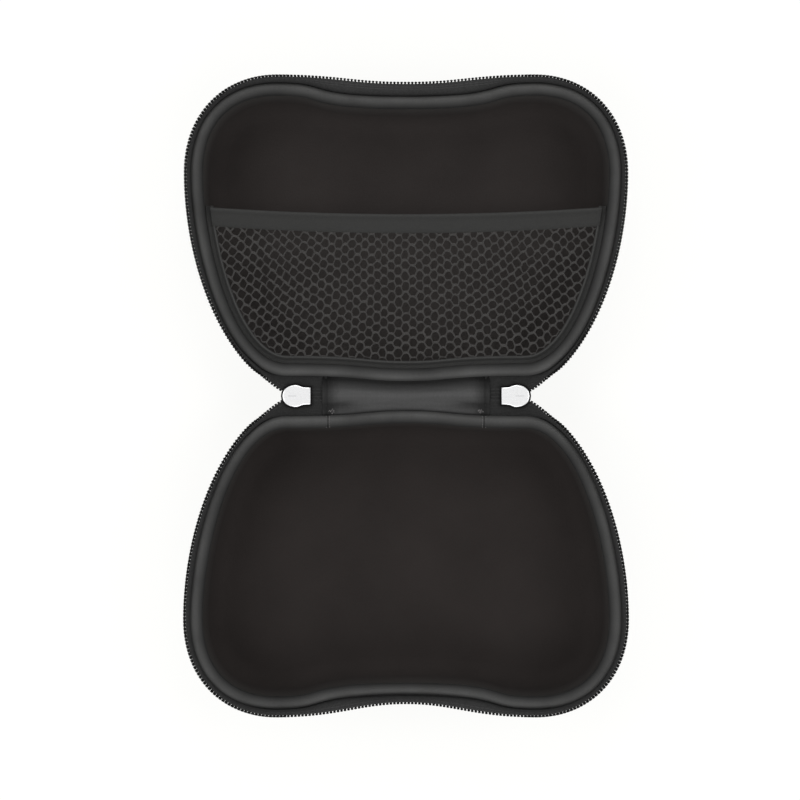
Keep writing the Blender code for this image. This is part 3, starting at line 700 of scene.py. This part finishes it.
STITCH_PITCH = 0.0020
# The lid's lining is paler than the base's, and under the net it is painted paler still, to lift the net's
# shadow.
LININGS = {BASE: lining_material("base_lining", (0.0262, 0.0222, 0.0210)),
           LID: lining_material("lid_lining", (0.0322, 0.0277, 0.0264), painted_light_under_net=1.22)}
OUTER_CLOTH = cloth_material("outer_cloth", (0.016, 0.016, 0.016), 0.0006, on_uv=False)
BINDING = cloth_material("binding", (0.058, 0.058, 0.057), 0.0005, roughness=0.7, specular=0.25,
                         depth=0.04, dark=0.78, light=1.2, on_uv=False, shaded=True)
POCKET_BINDING = cloth_material("pocket_binding", (0.040, 0.040, 0.039), 0.0005, depth=0.04, dark=0.75,
                                light=1.2, shaded=True)
ZIP_TAPE = cloth_material("zip_tape", (0.033, 0.033, 0.033), 0.00045, depth=0.08, dark=0.5, light=1.45,
                          stitch_rows=(0.0082, 0.0093), speckle=0.35, shaded=True)
HINGE_CLOTH = cloth_material("hinge_cloth_weave", (0.072, 0.072, 0.072), 0.0005, depth=0.05, dark=0.8,
                             light=1.15, shaded=True)
ELASTIC = cloth_material("elastic_knit", (0.036, 0.036, 0.035), 0.0004, depth=0.05, dark=0.8, light=1.2,
                         shaded=True)
NET_YARN = net_material()
THREAD = cloth_material("thread", (0.24, 0.23, 0.23), 0.0002, depth=0.03, on_uv=False)
COIL = plastic_material("coil_nylon")
METAL = metal_material("plated_face", (0.82, 0.82, 0.825), 0.26)
# The plated slider's steep sides and ledge are painted black, for the dark reflection they show.
METAL_EDGE = plastic_material("slider_side_painted_dark_reflection")
# The groove's walls are painted darker, for the shade in the groove.
METAL_GROOVE = metal_material("plated_groove_painted_shade", (0.55, 0.55, 0.56), 0.35)
PULL_METAL = metal_material("plated_pull", (0.80, 0.80, 0.81), 0.28)


# ---- moulded tubs

def build_tub(name, side):
    """Tub drawn down from its rim: straight rim, drafted wall, round into a flat back."""
    tub = flat_face(name, at_side(mirrored_ring(outline(0.0)), side), RIM_Z, up=False)
    quarter = [math.radians(90) * step / 10 for step in range(1, 11)]
    with editing(tub):
        extrude_by(0, 0, -RIM_STRAIGHT)
        bpy.ops.mesh.inset(thickness=DRAFT, depth=RIM_Z - RIM_STRAIGHT - BACK_ROUND)
        inset_along([(BACK_ROUND * (1 - math.cos(a)), BACK_ROUND * math.sin(a)) for a in quarter])
        bpy.ops.mesh.inset(thickness=0.004, depth=0.0)
    with editing(tub, "FACES"):
        choose_faces(tub, lambda middle: middle.z > RIM_Z - 0.0001)
        bpy.ops.mesh.delete(type="ONLY_FACE")
    modify(tub, "SOLIDIFY", thickness=WALL, offset=-1.0, use_even_offset=True, use_quality_normals=True)
    face_out(tub)
    smooth(tub, 50)
    paint(tub, OUTER_CLOTH, LININGS[side])
    inside = Vector((0.0, side * 0.065, 0.022))
    for polygon in tub.data.polygons:
        if polygon.normal.dot(inside - polygon.center) > 0 or polygon.normal.z > 0.5:
            polygon.material_index = 1
    return tub


for label, side in HALVES:
    tub = build_tub(label + "_tub", side)
    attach(tub, label)
    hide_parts(label + "_shell")


# ---- bound lips

def lip_point(turn):
    """Inset from the lip's outer edge, and height, at a share of the way over its round."""
    share = (1 - math.cos(math.pi * turn)) / 2
    crown = share ** 0.78
    return (LIP_WIDTH + LIP_PROUD) * share, LIP_HEIGHT * (4 * crown * (1 - crown)) ** 0.62


def proud(x, y, side):
    """How much further out a lip bulges than its even line: along the sides, and less at the far middle."""
    far = bell(x, 0.030) if abs(y) > 0.06 else 0.0
    return SIDE_PROUD[side] * eased(within(abs(x), 0.055, 0.020)) + FAR_PROUD[side] * far


def build_lip(name, side):
    """Binding folded over the rim: its round is drawn up and over, then down inside the tub's wall."""
    lip = flat_face(name, at_side(mirrored_ring(outline(-LIP_PROUD)), side), LIP_Z, up=True)
    with editing(lip):
        inset_along([lip_point(step / 14) for step in range(1, 15)])
        extrude_by(0, 0, -0.0028)
        bpy.ops.mesh.delete(type="ONLY_FACE")
    places = np.array([v.co for v in lip.data.vertices])
    inset, out = beside_outline(places)
    share = np.clip((LIP_PROUD + inset) / (LIP_WIDTH + LIP_PROUD), 0, 1)
    for vertex, (x, y, z), part, way in zip(lip.data.vertices, places, share, out):
        wave = clouds(x * 70, y * 70, side * 4.0) + 0.5 * clouds(x * 210, y * 210, 1)
        shift = (1 - part) * proud(x, y, side)
        vertex.co = (x + way[0] * shift, y + way[1] * shift,
                     z + 0.00022 * wave * within(z, LIP_Z, LIP_HEIGHT))
    modify(lip, "SOLIDIFY", thickness=0.00022, offset=-1.0)
    face_out(lip)
    smooth(lip)

    def painted_crown_light(points):
        """Painted highlight along the crown, painted shade down the inside, with uneven patches in it."""
        bulge = np.array([LIP_PROUD + proud(x, y, side) for x, y, _ in points])
        share = (bulge + beside_outline(points)[0]) / (LIP_WIDTH + bulge)
        painted_light = 0.84 + 0.34 * bell(share - 0.22, 0.20)
        painted_light *= 1 - 0.62 * np.clip((share - 0.50) / 0.50, 0, 1) ** 1.4
        patch = [clouds(x * 60, y * 60, side * 9.0) + 0.6 * clouds(x * 170, y * 170, side * 5.0)
                 for x, y, _ in points]
        return painted_light * (1 + 0.26 * np.array(patch))

    shade_by(lip, painted_crown_light)
    return lip


def part_base_lip(lip):
    """The base's binding in two pieces: the long one, and the one along the hinge side."""
    with editing(lip):
        for x in (-JOINT - JOINT_GAP, -JOINT + JOINT_GAP, JOINT - JOINT_GAP, JOINT + JOINT_GAP):
            bpy.ops.mesh.select_all(action="SELECT")
            bpy.ops.mesh.bisect(plane_co=(x, 0, 0), plane_no=(1, 0, 0))
    with editing(lip, "FACES"):
        choose_faces(lip, lambda c: c.y > -0.030 and abs(abs(c.x) - JOINT) < JOINT_GAP)
        bpy.ops.mesh.delete(type="FACE")
        choose_faces(lip, lambda c: c.y > -0.030 and abs(c.x) < JOINT)
        bpy.ops.mesh.separate(type="SELECTED")
    hinge = [obj for obj in bpy.context.selected_objects if obj is not lip][0]
    hinge.name = hinge.data.name = "base_hinge_side_binding"
    for piece in (lip, hinge):
        close_ends(piece)
    return hinge


JOINT, JOINT_GAP = 0.0312, 0.00012
base_lip = build_lip("base_rim_binding", BASE)
hinge_lip = part_base_lip(base_lip)
dress(base_lip, BINDING, "base", ["base_lip_binding"])
dress(hinge_lip, BINDING, "base", ["base_hinge_binding"])
dress(build_lip("lid_rim_binding", LID), BINDING, "lid", ["lid_lip_binding"])


def thread_bit(name, points, radius):
    """A bit of sewing thread through given points."""
    data = bpy.data.curves.new(name, "CURVE")
    data.dimensions = "3D"
    data.bevel_depth, data.bevel_resolution, data.use_fill_caps = radius, 1, True
    spline = data.splines.new("POLY")
    spline.points.add(len(points) - 1)
    for point, place in zip(spline.points, points):
        point.co = (*place, 1.0)
    pick(linked(name, data))
    bpy.ops.object.convert(target="MESH")
    return bpy.context.object


def build_joint_threads():
    """Two rows of stitches over each joint in the base's binding, and loose thread ends above it."""
    bits = []
    for hand in (-1, 1):
        for row, offset in enumerate((-0.00065, 0.00065)):
            x = hand * (JOINT + offset)
            for step in range(7) if row == 0 else (0, 6):
                line = []
                for part in range(5):
                    inset, lift = lip_point(0.12 + (step + 0.20 + 0.60 * part / 4) * 0.80 / 7)
                    line.append((x + 0.00007 * math.sin(step * 2.4 + row), LIP_PROUD - LIP_LINE(x) - inset,
                                 LIP_Z + lift + 0.00016))
                bits.append(thread_bit("stitch", line, 0.00013 if step == 6 else 0.00009))
        for number in range(7):
            seed = drift(number * 3.7, hand * 2.0, 0.5)
            place = Vector((hand * (JOINT - 0.0004 - 0.0003 * number + 0.0006 * seed.x),
                            -0.0062 + 0.0010 * seed.y, 0.0294))
            turn = Vector((-hand * (0.0002 + 0.0009 * abs(seed.z)), 0.0008 * seed.x, 0.0))
            line = [place + turn * t + 0.0003 * Vector((0, math.sin(3 * t + number), math.sin(2 * t)))
                    for t in (0, 0.4, 0.8, 1.2, 1.6)]
            bits.append(thread_bit("loose_end", line, 0.00010))
    threads = joined("joint_threads", bits)
    face_out(threads, 0.000001)
    return threads


dress(build_joint_threads(), THREAD, "base")


# ---- zip tapes and coils


def follow_both(obj):
    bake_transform(obj)


def build_tape(name, side):
    flange, bend, edge, _, _, under = band_frames(side)
    rows = [flange, (flange + bend) / 2, bend]
    for step in range(1, 10):
        share = step / 9
        bow = math.sin(math.pi * share) * 0.00025
        rows.append(bend + (edge - bend) * share - under * bow)
    rows = [at_side(mirrored_run(row), side) for row in rows]
    tape = sheet_on(name, rows)
    modify(tape, "SOLIDIFY", thickness=TAPE * 0.9, offset=0.0)
    face_out(tape)
    smooth(tape, 50)

    def painted_light_and_shade(points):
        """Painted shade beside the lip, lighter towards the teeth, and painted shade beside the hinge cloth.
        """
        lit_away_from_lip = 0.92 + 0.32 * np.clip((-beside_outline(points)[0] - 0.0008) / 0.0016, 0, 1)
        near = np.clip((0.0125 - np.abs(points[:, 1])) / 0.006, 0, 1)
        return lit_away_from_lip * (1 - near) + 0.62 * near

    shade_by(tape, painted_light_and_shade)
    return tape, (float(lengths(rows[len(rows) // 2])[-1]), cut_area(rows))


def model_tooth(head_width, tip_share, leg_share=0.55):
    """One coil loop: a flattened head, its two legs, and the thick back of the coil behind the tape."""
    tooth = start("cube", "tooth", size=1.0)
    head, hair = 0.00036, 0.0000001
    with editing(tooth):
        bpy.ops.transform.resize(value=(head_width, head, TOOTH_THICK))
        bpy.ops.transform.translate(value=(0, -head / 2, TOOTH_DROP + TOOTH_THICK / 2))
    with editing(tooth, "FACES"):
        choose_faces(tooth, lambda middle: middle.y > -hair)
        bpy.ops.transform.resize(value=(tip_share, 1, 0.9))
        choose_faces(tooth, lambda middle: middle.y < hair - head)
        for back, up, wide, thick in (
                (0.00014, 0, leg_share, 1), (0.00125, 0, 1, 1), (0.00030, 0.00038, 1.5, 2.4),
                (0.00110, 0, 1, 1), (0.00025, -0.0001, 0.8, 0.6)):
            extrude_by(0, -back, up)
            bpy.ops.transform.resize(value=(wide, 1, thick))
        choose_faces(tooth, lambda middle: middle.y > -head - hair)
        bpy.ops.mesh.bevel(offset=0.00007, segments=1, affect="EDGES")
    return tooth


FULL_TOOTH = model_tooth(0.00140, 0.97)
POINTED_TOOTH = model_tooth(0.00118, 0.45)
BLUNT_TOOTH = model_tooth(0.00108, 0.80, leg_share=0.86)


def teeth_places(side):
    """Where the full, pointed and blunt teeth stand along a tape, and how each is turned."""
    lines = [mirrored_run(row) for row in band_frames(side)[3:]]
    run = lengths(lines[0])
    count = int(run[-1] / TOOTH_PITCH)
    wanted = (np.arange(count) + (0.25 if side == LID else 0.75)) * (run[-1] / count)
    full, pointed, blunt = [], [], []
    for places in zip(*(at_side(along_line(line, wanted, run), side) for line in lines)):
        origin, outward, down = (Vector(place) for place in places)
        outward.normalize()
        down = (down - outward * down.dot(outward)).normalized()
        rotation = Matrix((outward.cross(down), outward, down)).transposed().to_4x4()
        far = abs(origin.y) > 0.1 and abs(origin.x) < 0.047
        lot = blunt if down.z < -0.85 else pointed if far else full
        lot.append(Matrix.Translation(origin) @ rotation)
    return full, pointed, blunt


for label, side in HALVES:
    tape, (tape_length, tape_area) = build_tape(label + "_tape", side)
    dress(tape, ZIP_TAPE, replaces=[label + "_zip_tape", "left_zip_end", "right_zip_end"])
    follow_both(tape)
    full, pointed, blunt = teeth_places(side)
    coil = joined(label + "_coil_teeth", [copies("far_teeth", POINTED_TOOTH, pointed),
                                          copies("slider_teeth", BLUNT_TOOTH, blunt),
                                          copies("band_teeth", FULL_TOOTH, full)])
    smooth(coil, 50)
    dress(coil, COIL, replaces=[label + "_zip_coil"])
    follow_both(coil)


# ---- hinge cloth

CLOTH_END, UNDER_LIP = 0.0334, 0.0030

# How dark the cloth's dip under the lid's lip is, over the distance from the lip
LID_SHADOW = ((0.0009, 0.0017, 0.0025, 0.0033, 0.0041, 0.0049, 0.0058),
              (0.27, 0.28, 0.34, 0.48, 0.62, 0.76, 1.0))


def fold_height(x, y):
    """Soft folds along the hinge strip, a crease on the base's side, puckers at its ends and a dip
    beside both lips."""
    out, to_lid, to_base = abs(x), LIP_LINE(x) - y, LIP_LINE(x) + y
    crease = -0.0022 - 0.0016 * within(out, 0.016, 0.014)
    rise = 0.00050 * bell(y - 0.0010, 0.0030)
    rise += 0.00022 * clouds(x * 45, y * 380, 1.7) + 0.00010 * clouds(x * 150, y * 900, 5.1)
    rise -= 0.00050 * bell(y - crease, 0.0008) * bell(out - 0.0275, 0.0075)
    rise += 0.00024 * within(out, 0.024, 0.009) * math.sin((out - 0.024) * math.tau / 0.0021)
    rise += 0.00016 * within(out, 0.0300, 0.0015)
    return rise - 0.00080 * bell(to_lid - 0.0006, 0.0012) - 0.00050 * bell(to_base - 0.0004, 0.0006)


def build_hinge_cloth(name, side):
    """One half of the strip's cloth, from the middle to under the lip."""
    rows = []
    for share in np.linspace(0, 1, 34):
        row = []
        for x in np.linspace(-CLOTH_END, CLOTH_END, 220):
            y = share * (LIP_LINE(x) + UNDER_LIP)
            z = STRIP_Z + 0.00055 + fold_height(x, side * y)
            if y > LIP_LINE(x) - 0.0004:
                z = min(z, 0.0279 - TAPE / 2)
            row.append((x, side * y, max(z, FLANGE_Z)))
        rows.append(row)
    cut = cut_area([[(x, y, 0.0) for x, y, _ in row] for row in rows])
    cloth = sheet_on(name, rows)
    modify(cloth, "SOLIDIFY", thickness=0.0003, offset=0.0)
    face_out(cloth)
    smooth(cloth)

    def painted_light_and_shade(points):
        """Painted light along the middle, painted shade beside both lips, in the crease and towards the
        ends, with uneven tone.
        """
        values = []
        for x, y, _ in points:
            out, to_lid, to_base = abs(x), LIP_LINE(x) - y, LIP_LINE(x) + y
            crease = -0.0024 - 0.0012 * within(out, 0.016, 0.014)
            value = 0.92 + 0.16 * bell(y - 0.0006, 0.0016) + 0.10 * clouds(x * 60, y * 700, 2.2)
            value *= np.interp(to_lid, *LID_SHADOW) * (1 - 0.55 * bell(to_base - 0.0003, 0.0010))
            value *= 1 - 0.36 * bell(y + 0.0046, 0.0018) * bell(out - 0.0270, 0.0090)
            value *= 1 - 0.42 * bell(y - crease, 0.0013) * bell(out - 0.0265, 0.0060)
            value *= 1 - 0.64 * within(out, 0.0262, 0.0052) ** 1.2
            values.append(value * (1 - 0.25 * bell(out - 0.0316, 0.0003)))
        return values

    shade_by(cloth, painted_light_and_shade)
    return cloth, cut


for label, side in HALVES:
    cloth, cut = build_hinge_cloth(label + "_side_hinge_cloth", side)
    dress(cloth, HINGE_CLOTH, replaces=["hinge_cloth"])
    LIP_LINE(CLOTH_END) + UNDER_LIP
    follow_both(cloth)


# ---- sliders

SLIDER_SIDE = ((0.0, 0.0), (0.0002, 0.0014), (0.0006, 0.0025), (0.0012, 0.0033), (0.0024, 0.0042),
               (0.0036, 0.0047), (0.0048, 0.00495), (0.0058, 0.0051), (0.0069, 0.00495), (0.0079, 0.0046),
               (0.0089, 0.0042), (0.0099, 0.0041), (0.0112, 0.00405), (0.0125, 0.0040))
PLATE_NOSE, BODY_NOSE = 0.0500, 0.0498


def slider_plate(name, hand, bottom, height, edge, ledge=0.0):
    """A slider's plate: drawn outline, raised, with its edge rounded in steps and the face domed."""
    side = np.array(SLIDER_SIDE)
    run = lengths(side)
    side = along_line(side, np.append(np.linspace(0, run[-1] - 0.0016, 30), run[-1]))
    side = [(hand * (PLATE_NOSE - behind), y) for behind, y in side]
    plate = flat_face(name, side + [(x, -y) for x, y in side[:0:-1]], bottom, up=True)
    foot = height * 0.4 if ledge else 0.0
    with editing(plate):
        if ledge:
            extrude_by(0, 0, foot)
            bpy.ops.mesh.inset(thickness=ledge, depth=0.0)
        extrude_by(0, 0, height - foot - edge)
        for inset, rise in ((0.12, 0.45), (0.20, 0.27), (0.35, 0.18), (0.9, 0.10)):
            bpy.ops.mesh.inset(thickness=edge * inset, depth=edge * rise)
    return plate


def block(name, hand, behind, sides, heights, bevel=0.0):
    """A box between two distances behind a slider's nose, two sides and two heights."""
    low, high = zip([hand * (BODY_NOSE - place) for place in behind], sides, heights)
    box = start("cube", name, size=1.0)
    with editing(box):
        bpy.ops.transform.resize(value=[abs(b - a) for a, b in zip(low, high)])
        bpy.ops.transform.translate(value=[(a + b) / 2 for a, b in zip(low, high)])
    if bevel:
        modify(box, "BEVEL", width=bevel, segments=2)
    return box


def cut_out(obj, tool):
    modify(obj, "BOOLEAN", operation="DIFFERENCE", object=tool, solver="EXACT")
    bpy.data.objects.remove(tool)


def build_slider(label, hand):
    """Cast slider: face plate with a groove, back plate, diamond, side walls and the pull's bridge."""
    face = slider_plate(label + "_slider_face", hand, 0.0283, 0.0014, 0.0004, ledge=0.00062)
    cut_out(face, block("groove", hand, (0.0028, 0.0060), (-0.00012, 0.00012), (0.02960, 0.0300)))
    paint(face, METAL, METAL_EDGE, METAL_GROOVE)
    for polygon in face.data.polygons:
        # painted dark reflection on the face plate's steep sides and ledge
        if polygon.center.z < 0.02895:
            polygon.material_index = 1
        # painted shade on the groove's walls
        elif abs(polygon.center.y) < 0.00013 and polygon.center.z < 0.02968:
            polygon.material_index = 2
    back = slider_plate(label + "_slider_back", hand, 0.0246, 0.0012, 0.0003)
    diamond = block("diamond", hand, (0.0045, 0.0015), (-0.0009, 0.0009), (0.0252, 0.0287), 0.0003)
    walls = [block("wall", hand, (0.0064, 0.0121), (s * 0.0031, s * 0.0037), (0.0252, 0.0271), 0.0001)
             for s in (-1, 1)]
    bridge = block("bridge", hand, (0.0036, 0.0088), (-0.0009, 0.0009), (0.0214, 0.0250), 0.0004)
    cut_out(bridge, block("hole", hand, (0.0047, 0.0077), (-0.002, 0.002), (0.0224, 0.0246)))
    for piece in [back, diamond, bridge] + walls:
        paint(piece, METAL)
    slider = joined(label + "_cast_slider", [back, diamond, bridge] + walls + [face])
    smooth(slider, 35)
    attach(slider, label + "_slider")
    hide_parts(label + "_slider")


for label, hand in (("left", -1), ("right", 1)):
    build_slider(label, hand)
    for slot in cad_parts[label + "_pull"].material_slots:
        slot.material = PULL_METAL


# ---- net pocket

def wall_x(inset, y):
    """Half width of the lid's inside at a distance from the hinge."""
    points = outline(inset)[sum(STATIONS[:2]):sum(STATIONS[:3]) + 1][::-1]
    return float(np.interp(y, points[:, 1], points[:, 0]))


BAND_TOP, BAND_WIDTH, BAND_BOW = 0.0729, 0.0072, 0.0026
POCKET_TOP = 0.0764


def band_top(x):
    """The elastic's top edge, a little higher at its ends than in the middle."""
    return BAND_TOP + BAND_BOW * (x / 0.0764) ** 2


def band_line(drop, inset):
    reach = wall_x(inset, BAND_TOP + BAND_BOW - drop)
    xs = np.linspace(-reach, reach, 160)
    return np.column_stack([xs, band_top(xs) - drop])


def build_band():
    """Knitted elastic with a rolled top edge, slightly fuller along its middle."""
    profile = ((0.0000, -0.0007), (0.0001, -0.0002), (0.0006, 0.0000), (0.0012, -0.0001), (0.0018, -0.0003),
               (0.0035, -0.0002), (0.0055, -0.0002), (0.0072, -0.0004), (0.0076, -0.0008), (0.0072, -0.0010),
               (0.0040, -0.0011), (0.0010, -0.0012))
    rows = [raised(band_line(drop, WALL + 0.0022), NET_TOP + dz) for drop, dz in profile]
    band = sheet_on("pocket_elastic", rows, around=True)
    face_out(band)
    close_ends(band)

    def painted_light(points):
        """Painted highlight along its top edge, with a painted shadow line under it."""
        drop = band_top(points[:, 0]) - points[:, 1]
        return 1.0 + 0.28 * bell(drop - 0.0005, 0.0006) - 0.12 * bell(drop - 0.0016, 0.0005)

    shade_by(band, painted_light)
    return band


dress(build_band(), ELASTIC, "lid", ["pocket_band"])


def pocket_run(inset, top_y):
    """From a place up the lid's wall down to the hinge side and up again."""
    points = outline(inset)
    below = points[sum(STATIONS[:2]):]
    below = below[below[:, 1] < top_y]
    right = np.vstack([[wall_x(inset, top_y), top_y], below])
    return np.vstack([right, right[-2::-1] * (-1, 1)])


def build_pocket_edge():
    """Tape sewn along the pocket's sides and hinge side, with a round bead along the net."""
    profile = ((0.0000, -0.0014), (0.0009, -0.0015), (0.0016, -0.0014), (0.0020, -0.0008), (0.0024, -0.0005),
               (0.0028, -0.0008), (0.0031, -0.0015), (0.0026, -0.0020), (0.0010, -0.0021), (0.0000, -0.0020))
    rows = []
    for inset, dz in profile:
        line = pocket_run(WALL + 0.0003 + inset, POCKET_TOP)
        run = lengths(line)
        wanted = np.linspace(0, run[-1], 320)
        line = raised(along_line(line, wanted), NET_TOP + dz)
        line[:, 2] -= 0.0030 * np.clip(1 - np.minimum(wanted, run[-1] - wanted) / 0.006, 0, 1) ** 2
        rows.append(line)
    edge = sheet_on("pocket_edge_tape", rows, around=True)
    face_out(edge)
    close_ends(edge)
    # painted highlight along the bead's crest
    shade_by(edge, lambda points: 1.15 + 0.65 * bell(beside_outline(points)[0] - WALL - 0.0027, 0.00042))
    return edge


dress(build_pocket_edge(), POCKET_BINDING, "lid", ["pocket_edge"])


MESH_WIDE, MESH_HIGH = 0.00286, 0.00412
NET_START, NET_ARCH = 0.0110, 0.00016


def stretched(x, y):
    """The net hangs in a shallow bow, its columns drawn together upwards, and the pull towards the pocket's
    upper corners moves every other knot so that the strands along it run on in one line."""
    hand = math.copysign(1.0, x)
    across, up = math.pi * x / MESH_WIDE, math.pi * (y - NET_START) / (MESH_HIGH / 2)
    knot = (math.sin(across + up) + math.sin(across - up) - math.sin(2 * across)) / 2.6
    pull = within(abs(x), 0.024, 0.026) * max(0.25, within(y, 0.010, 0.030))
    pull *= 0.80 + 0.5 * clouds(x * 55, y * 55, 4.4)
    slip = drift(x * 38, y * 38, 8.3) * 0.0007
    return (x * (1 - 2.2 * (y - 0.040)) + 0.00024 * pull * knot + slip.x,
            y + 0.70 * x * x - 0.00052 * hand * pull * knot + slip.y)


NET_BORDER = mirrored_ring(outline(WALL + 0.0026))


def in_net(x, y):
    """Whether a place lies inside the pocket's tape and below the elastic, which hides the net's edges."""
    if y > band_top(x) - BAND_WIDTH + 0.0016:
        return False
    inside = False
    for (x0, y0), (x1, y1) in zip(NET_BORDER, np.roll(NET_BORDER, -1, axis=0)):
        if (y0 > y) != (y1 > y) and x < x0 + (y - y0) * (x1 - x0) / (y1 - y0):
            inside = not inside
    return inside


def model_net_mesh():
    """One mesh of the net: a crowned strand all round a hole, thick above and below it."""
    a, b, h = MESH_WIDE / 3, MESH_WIDE * 2 / 3, MESH_HIGH / 2
    corners = [(0, h), (a, h), ((a + b) / 2, h / 2), (b, 0), ((a + b) / 2, -h / 2), (a, -h)]
    corners += [(-x, -y) for x, y in corners]
    hole = [(0, h - 0.00044), (a - 0.00014, h - 0.00052), ((a + b) / 2 - 0.00026, h / 2 - 0.00014),
            (b - 0.00034, 0)]
    hole += [(hole[2][0], -hole[2][1]), (hole[1][0], -hole[1][1])]
    hole += [(-x, -y) for x, y in hole]
    cell = start("circle", "net_mesh", vertices=12, radius=1.0, fill_type="NOTHING")
    for vertex, (x, y) in zip(cell.data.vertices, corners):
        vertex.co = (x, y, 0.00020)
    with editing(cell):
        for _ in range(2):
            bpy.ops.mesh.extrude_edges_move()
    for vertex in cell.data.vertices:
        ring, number = divmod(vertex.index, 12)
        if ring:
            near = min(range(12), key=lambda k: (vertex.co.xy - Vector(corners[k])).length)
            vertex.co = (*hole[near], -0.00005) if ring == 1 else (*corners[near], -0.00025)
    uv = cell.data.uv_layers.new(name="UVMap").data
    for polygon in cell.data.polygons:
        for loop in polygon.loop_indices:
            index = cell.data.loops[loop].vertex_index
            turn = math.atan2(cell.data.vertices[index].co.y, cell.data.vertices[index].co.x)
            uv[loop].uv = (turn / math.tau + 0.5, 0.0 if index // 12 == 1 else 1.0)
    for vertex in cell.data.vertices:
        if abs(vertex.co.x) < 0.00001:
            vertex.co.y += NET_ARCH
    return cell


def build_net():
    """Meshes all over the pocket, drawn into their places and sagging a little towards the middle."""
    cell = model_net_mesh()
    places = []
    for column in range(-38, 39):
        for row in range(-6, 24):
            x, y = column * MESH_WIDE, NET_START + (row + 0.5 * (column % 2)) * MESH_HIGH
            if in_net(*stretched(x, y)):
                places.append(Matrix.Translation((x, y, 0)))
    net = copies("pocket_net_yarn", cell, places)
    bpy.data.objects.remove(cell)
    with editing(net):
        bpy.ops.mesh.remove_doubles(threshold=0.00002)
        bpy.ops.mesh.normals_make_consistent(inside=False)
    drawn_to = [stretched(v.co.x, v.co.y) for v in net.data.vertices]
    insets, _ = beside_outline(np.array(drawn_to))
    sewn = 0.0012 * np.clip((WALL + 0.0036 - insets) / 0.0010, 0, 1)
    for vertex, (new_x, new_y), under in zip(net.data.vertices, drawn_to, sewn):
        x, y, z = vertex.co
        jitter = drift(x * 620, y * 620, 3.1) * 1.4 + drift(x * 260, y * 260, 7.7) * 1.8
        sag = 0.0009 * math.cos(within(abs(new_x), 0.0, 0.078) * math.pi / 2)
        sag *= math.sin(math.pi * within(new_y, 0.012, 0.056))
        vertex.co = (new_x + 0.00026 * jitter.x, new_y + 0.00026 * jitter.y,
                     z - under + NET_TOP - 0.0008 - sag + 0.00015 * jitter.z)
    smooth(net)
    return net


net = dress(build_net(), NET_YARN, "lid", ["pocket_net"])

for model in (FULL_TOOTH, POINTED_TOOTH, BLUNT_TOOTH):
    bpy.data.objects.remove(model)


# ---- stage, light and camera

floor = start("plane", "floor", size=6.0, location=(0, 0, -0.0003))


def seen_by_eye(add):
    """1 for rays that come from the camera, straight or by way of gloss or glass, else 0."""
    rays = add("LightPath").outputs
    seen = maths("MAXIMUM", rays["Is Camera Ray"], rays["Is Glossy Ray"])
    return maths("MAXIMUM", seen, rays["Is Transmission Ray"])


def behind_material():
    """Pale floor that shows white behind the case and keeps its shadow."""
    pale = Finish("pale_floor", (0.8, 0.8, 0.8), 0.9, 0.1)
    glow = pale.add("Emission", Color=(1, 1, 0.985, 1), Strength=0.90)
    matt = pale.add("BsdfDiffuse", Color=(0.13, 0.13, 0.13, 1))
    both = pale.add("AddShader")
    mix = pale.add("MixShader", Fac=seen_by_eye(pale.add))
    surface = pale.tree.nodes["Material Output"].inputs["Surface"]
    for source, socket in ((glow, both.inputs[0]), (matt, both.inputs[1]), (pale.shader, mix.inputs[1]),
                           (both, mix.inputs[2]), (mix, surface)):
        put(socket, source.outputs[0])
    return pale.material


paint(floor, behind_material())

world = bpy.data.worlds.new("studio")
bpy.context.scene.world = world
world.use_nodes = True
sky = world.node_tree.nodes["Background"].inputs
sky["Color"].default_value = (1, 1, 1, 1)
put(sky["Strength"], plus(times(seen_by_eye(adder(world.node_tree)), 0.5), 0.5))


def soft_lamp(name, place, size, power):
    """Round lamp that looks at the case's middle."""
    data = bpy.data.lights.new(name, "AREA")
    data.shape, data.size, data.energy = "DISK", size, power
    lamp = linked(name, data)
    lamp.location = place
    lamp.rotation_euler = (Vector((0, 0, 0.03)) - Vector(place)).to_track_quat("-Z", "Y").to_euler()


for name, place in (("far", (0.0, 1.2, 1.2)), ("near", (0.0, -1.2, 1.2)), ("left", (-1.2, 0.0, 1.2)),
                    ("right", (1.2, 0.0, 1.2))):
    soft_lamp(name + "_softbox", place, 0.9, 5.2)

camera_data = bpy.data.cameras.new("camera")
camera_data.sensor_width = SENSOR
camera_data.lens = SENSOR * CAMERA_ABOVE / FRAME_WIDTH
camera_data.clip_end = 20.0
camera = linked("camera", camera_data)
camera.location = (*CENTRE, 0.028 + CAMERA_ABOVE)

scene = bpy.context.scene
scene.camera = camera
scene.view_settings.view_transform = "Standard"
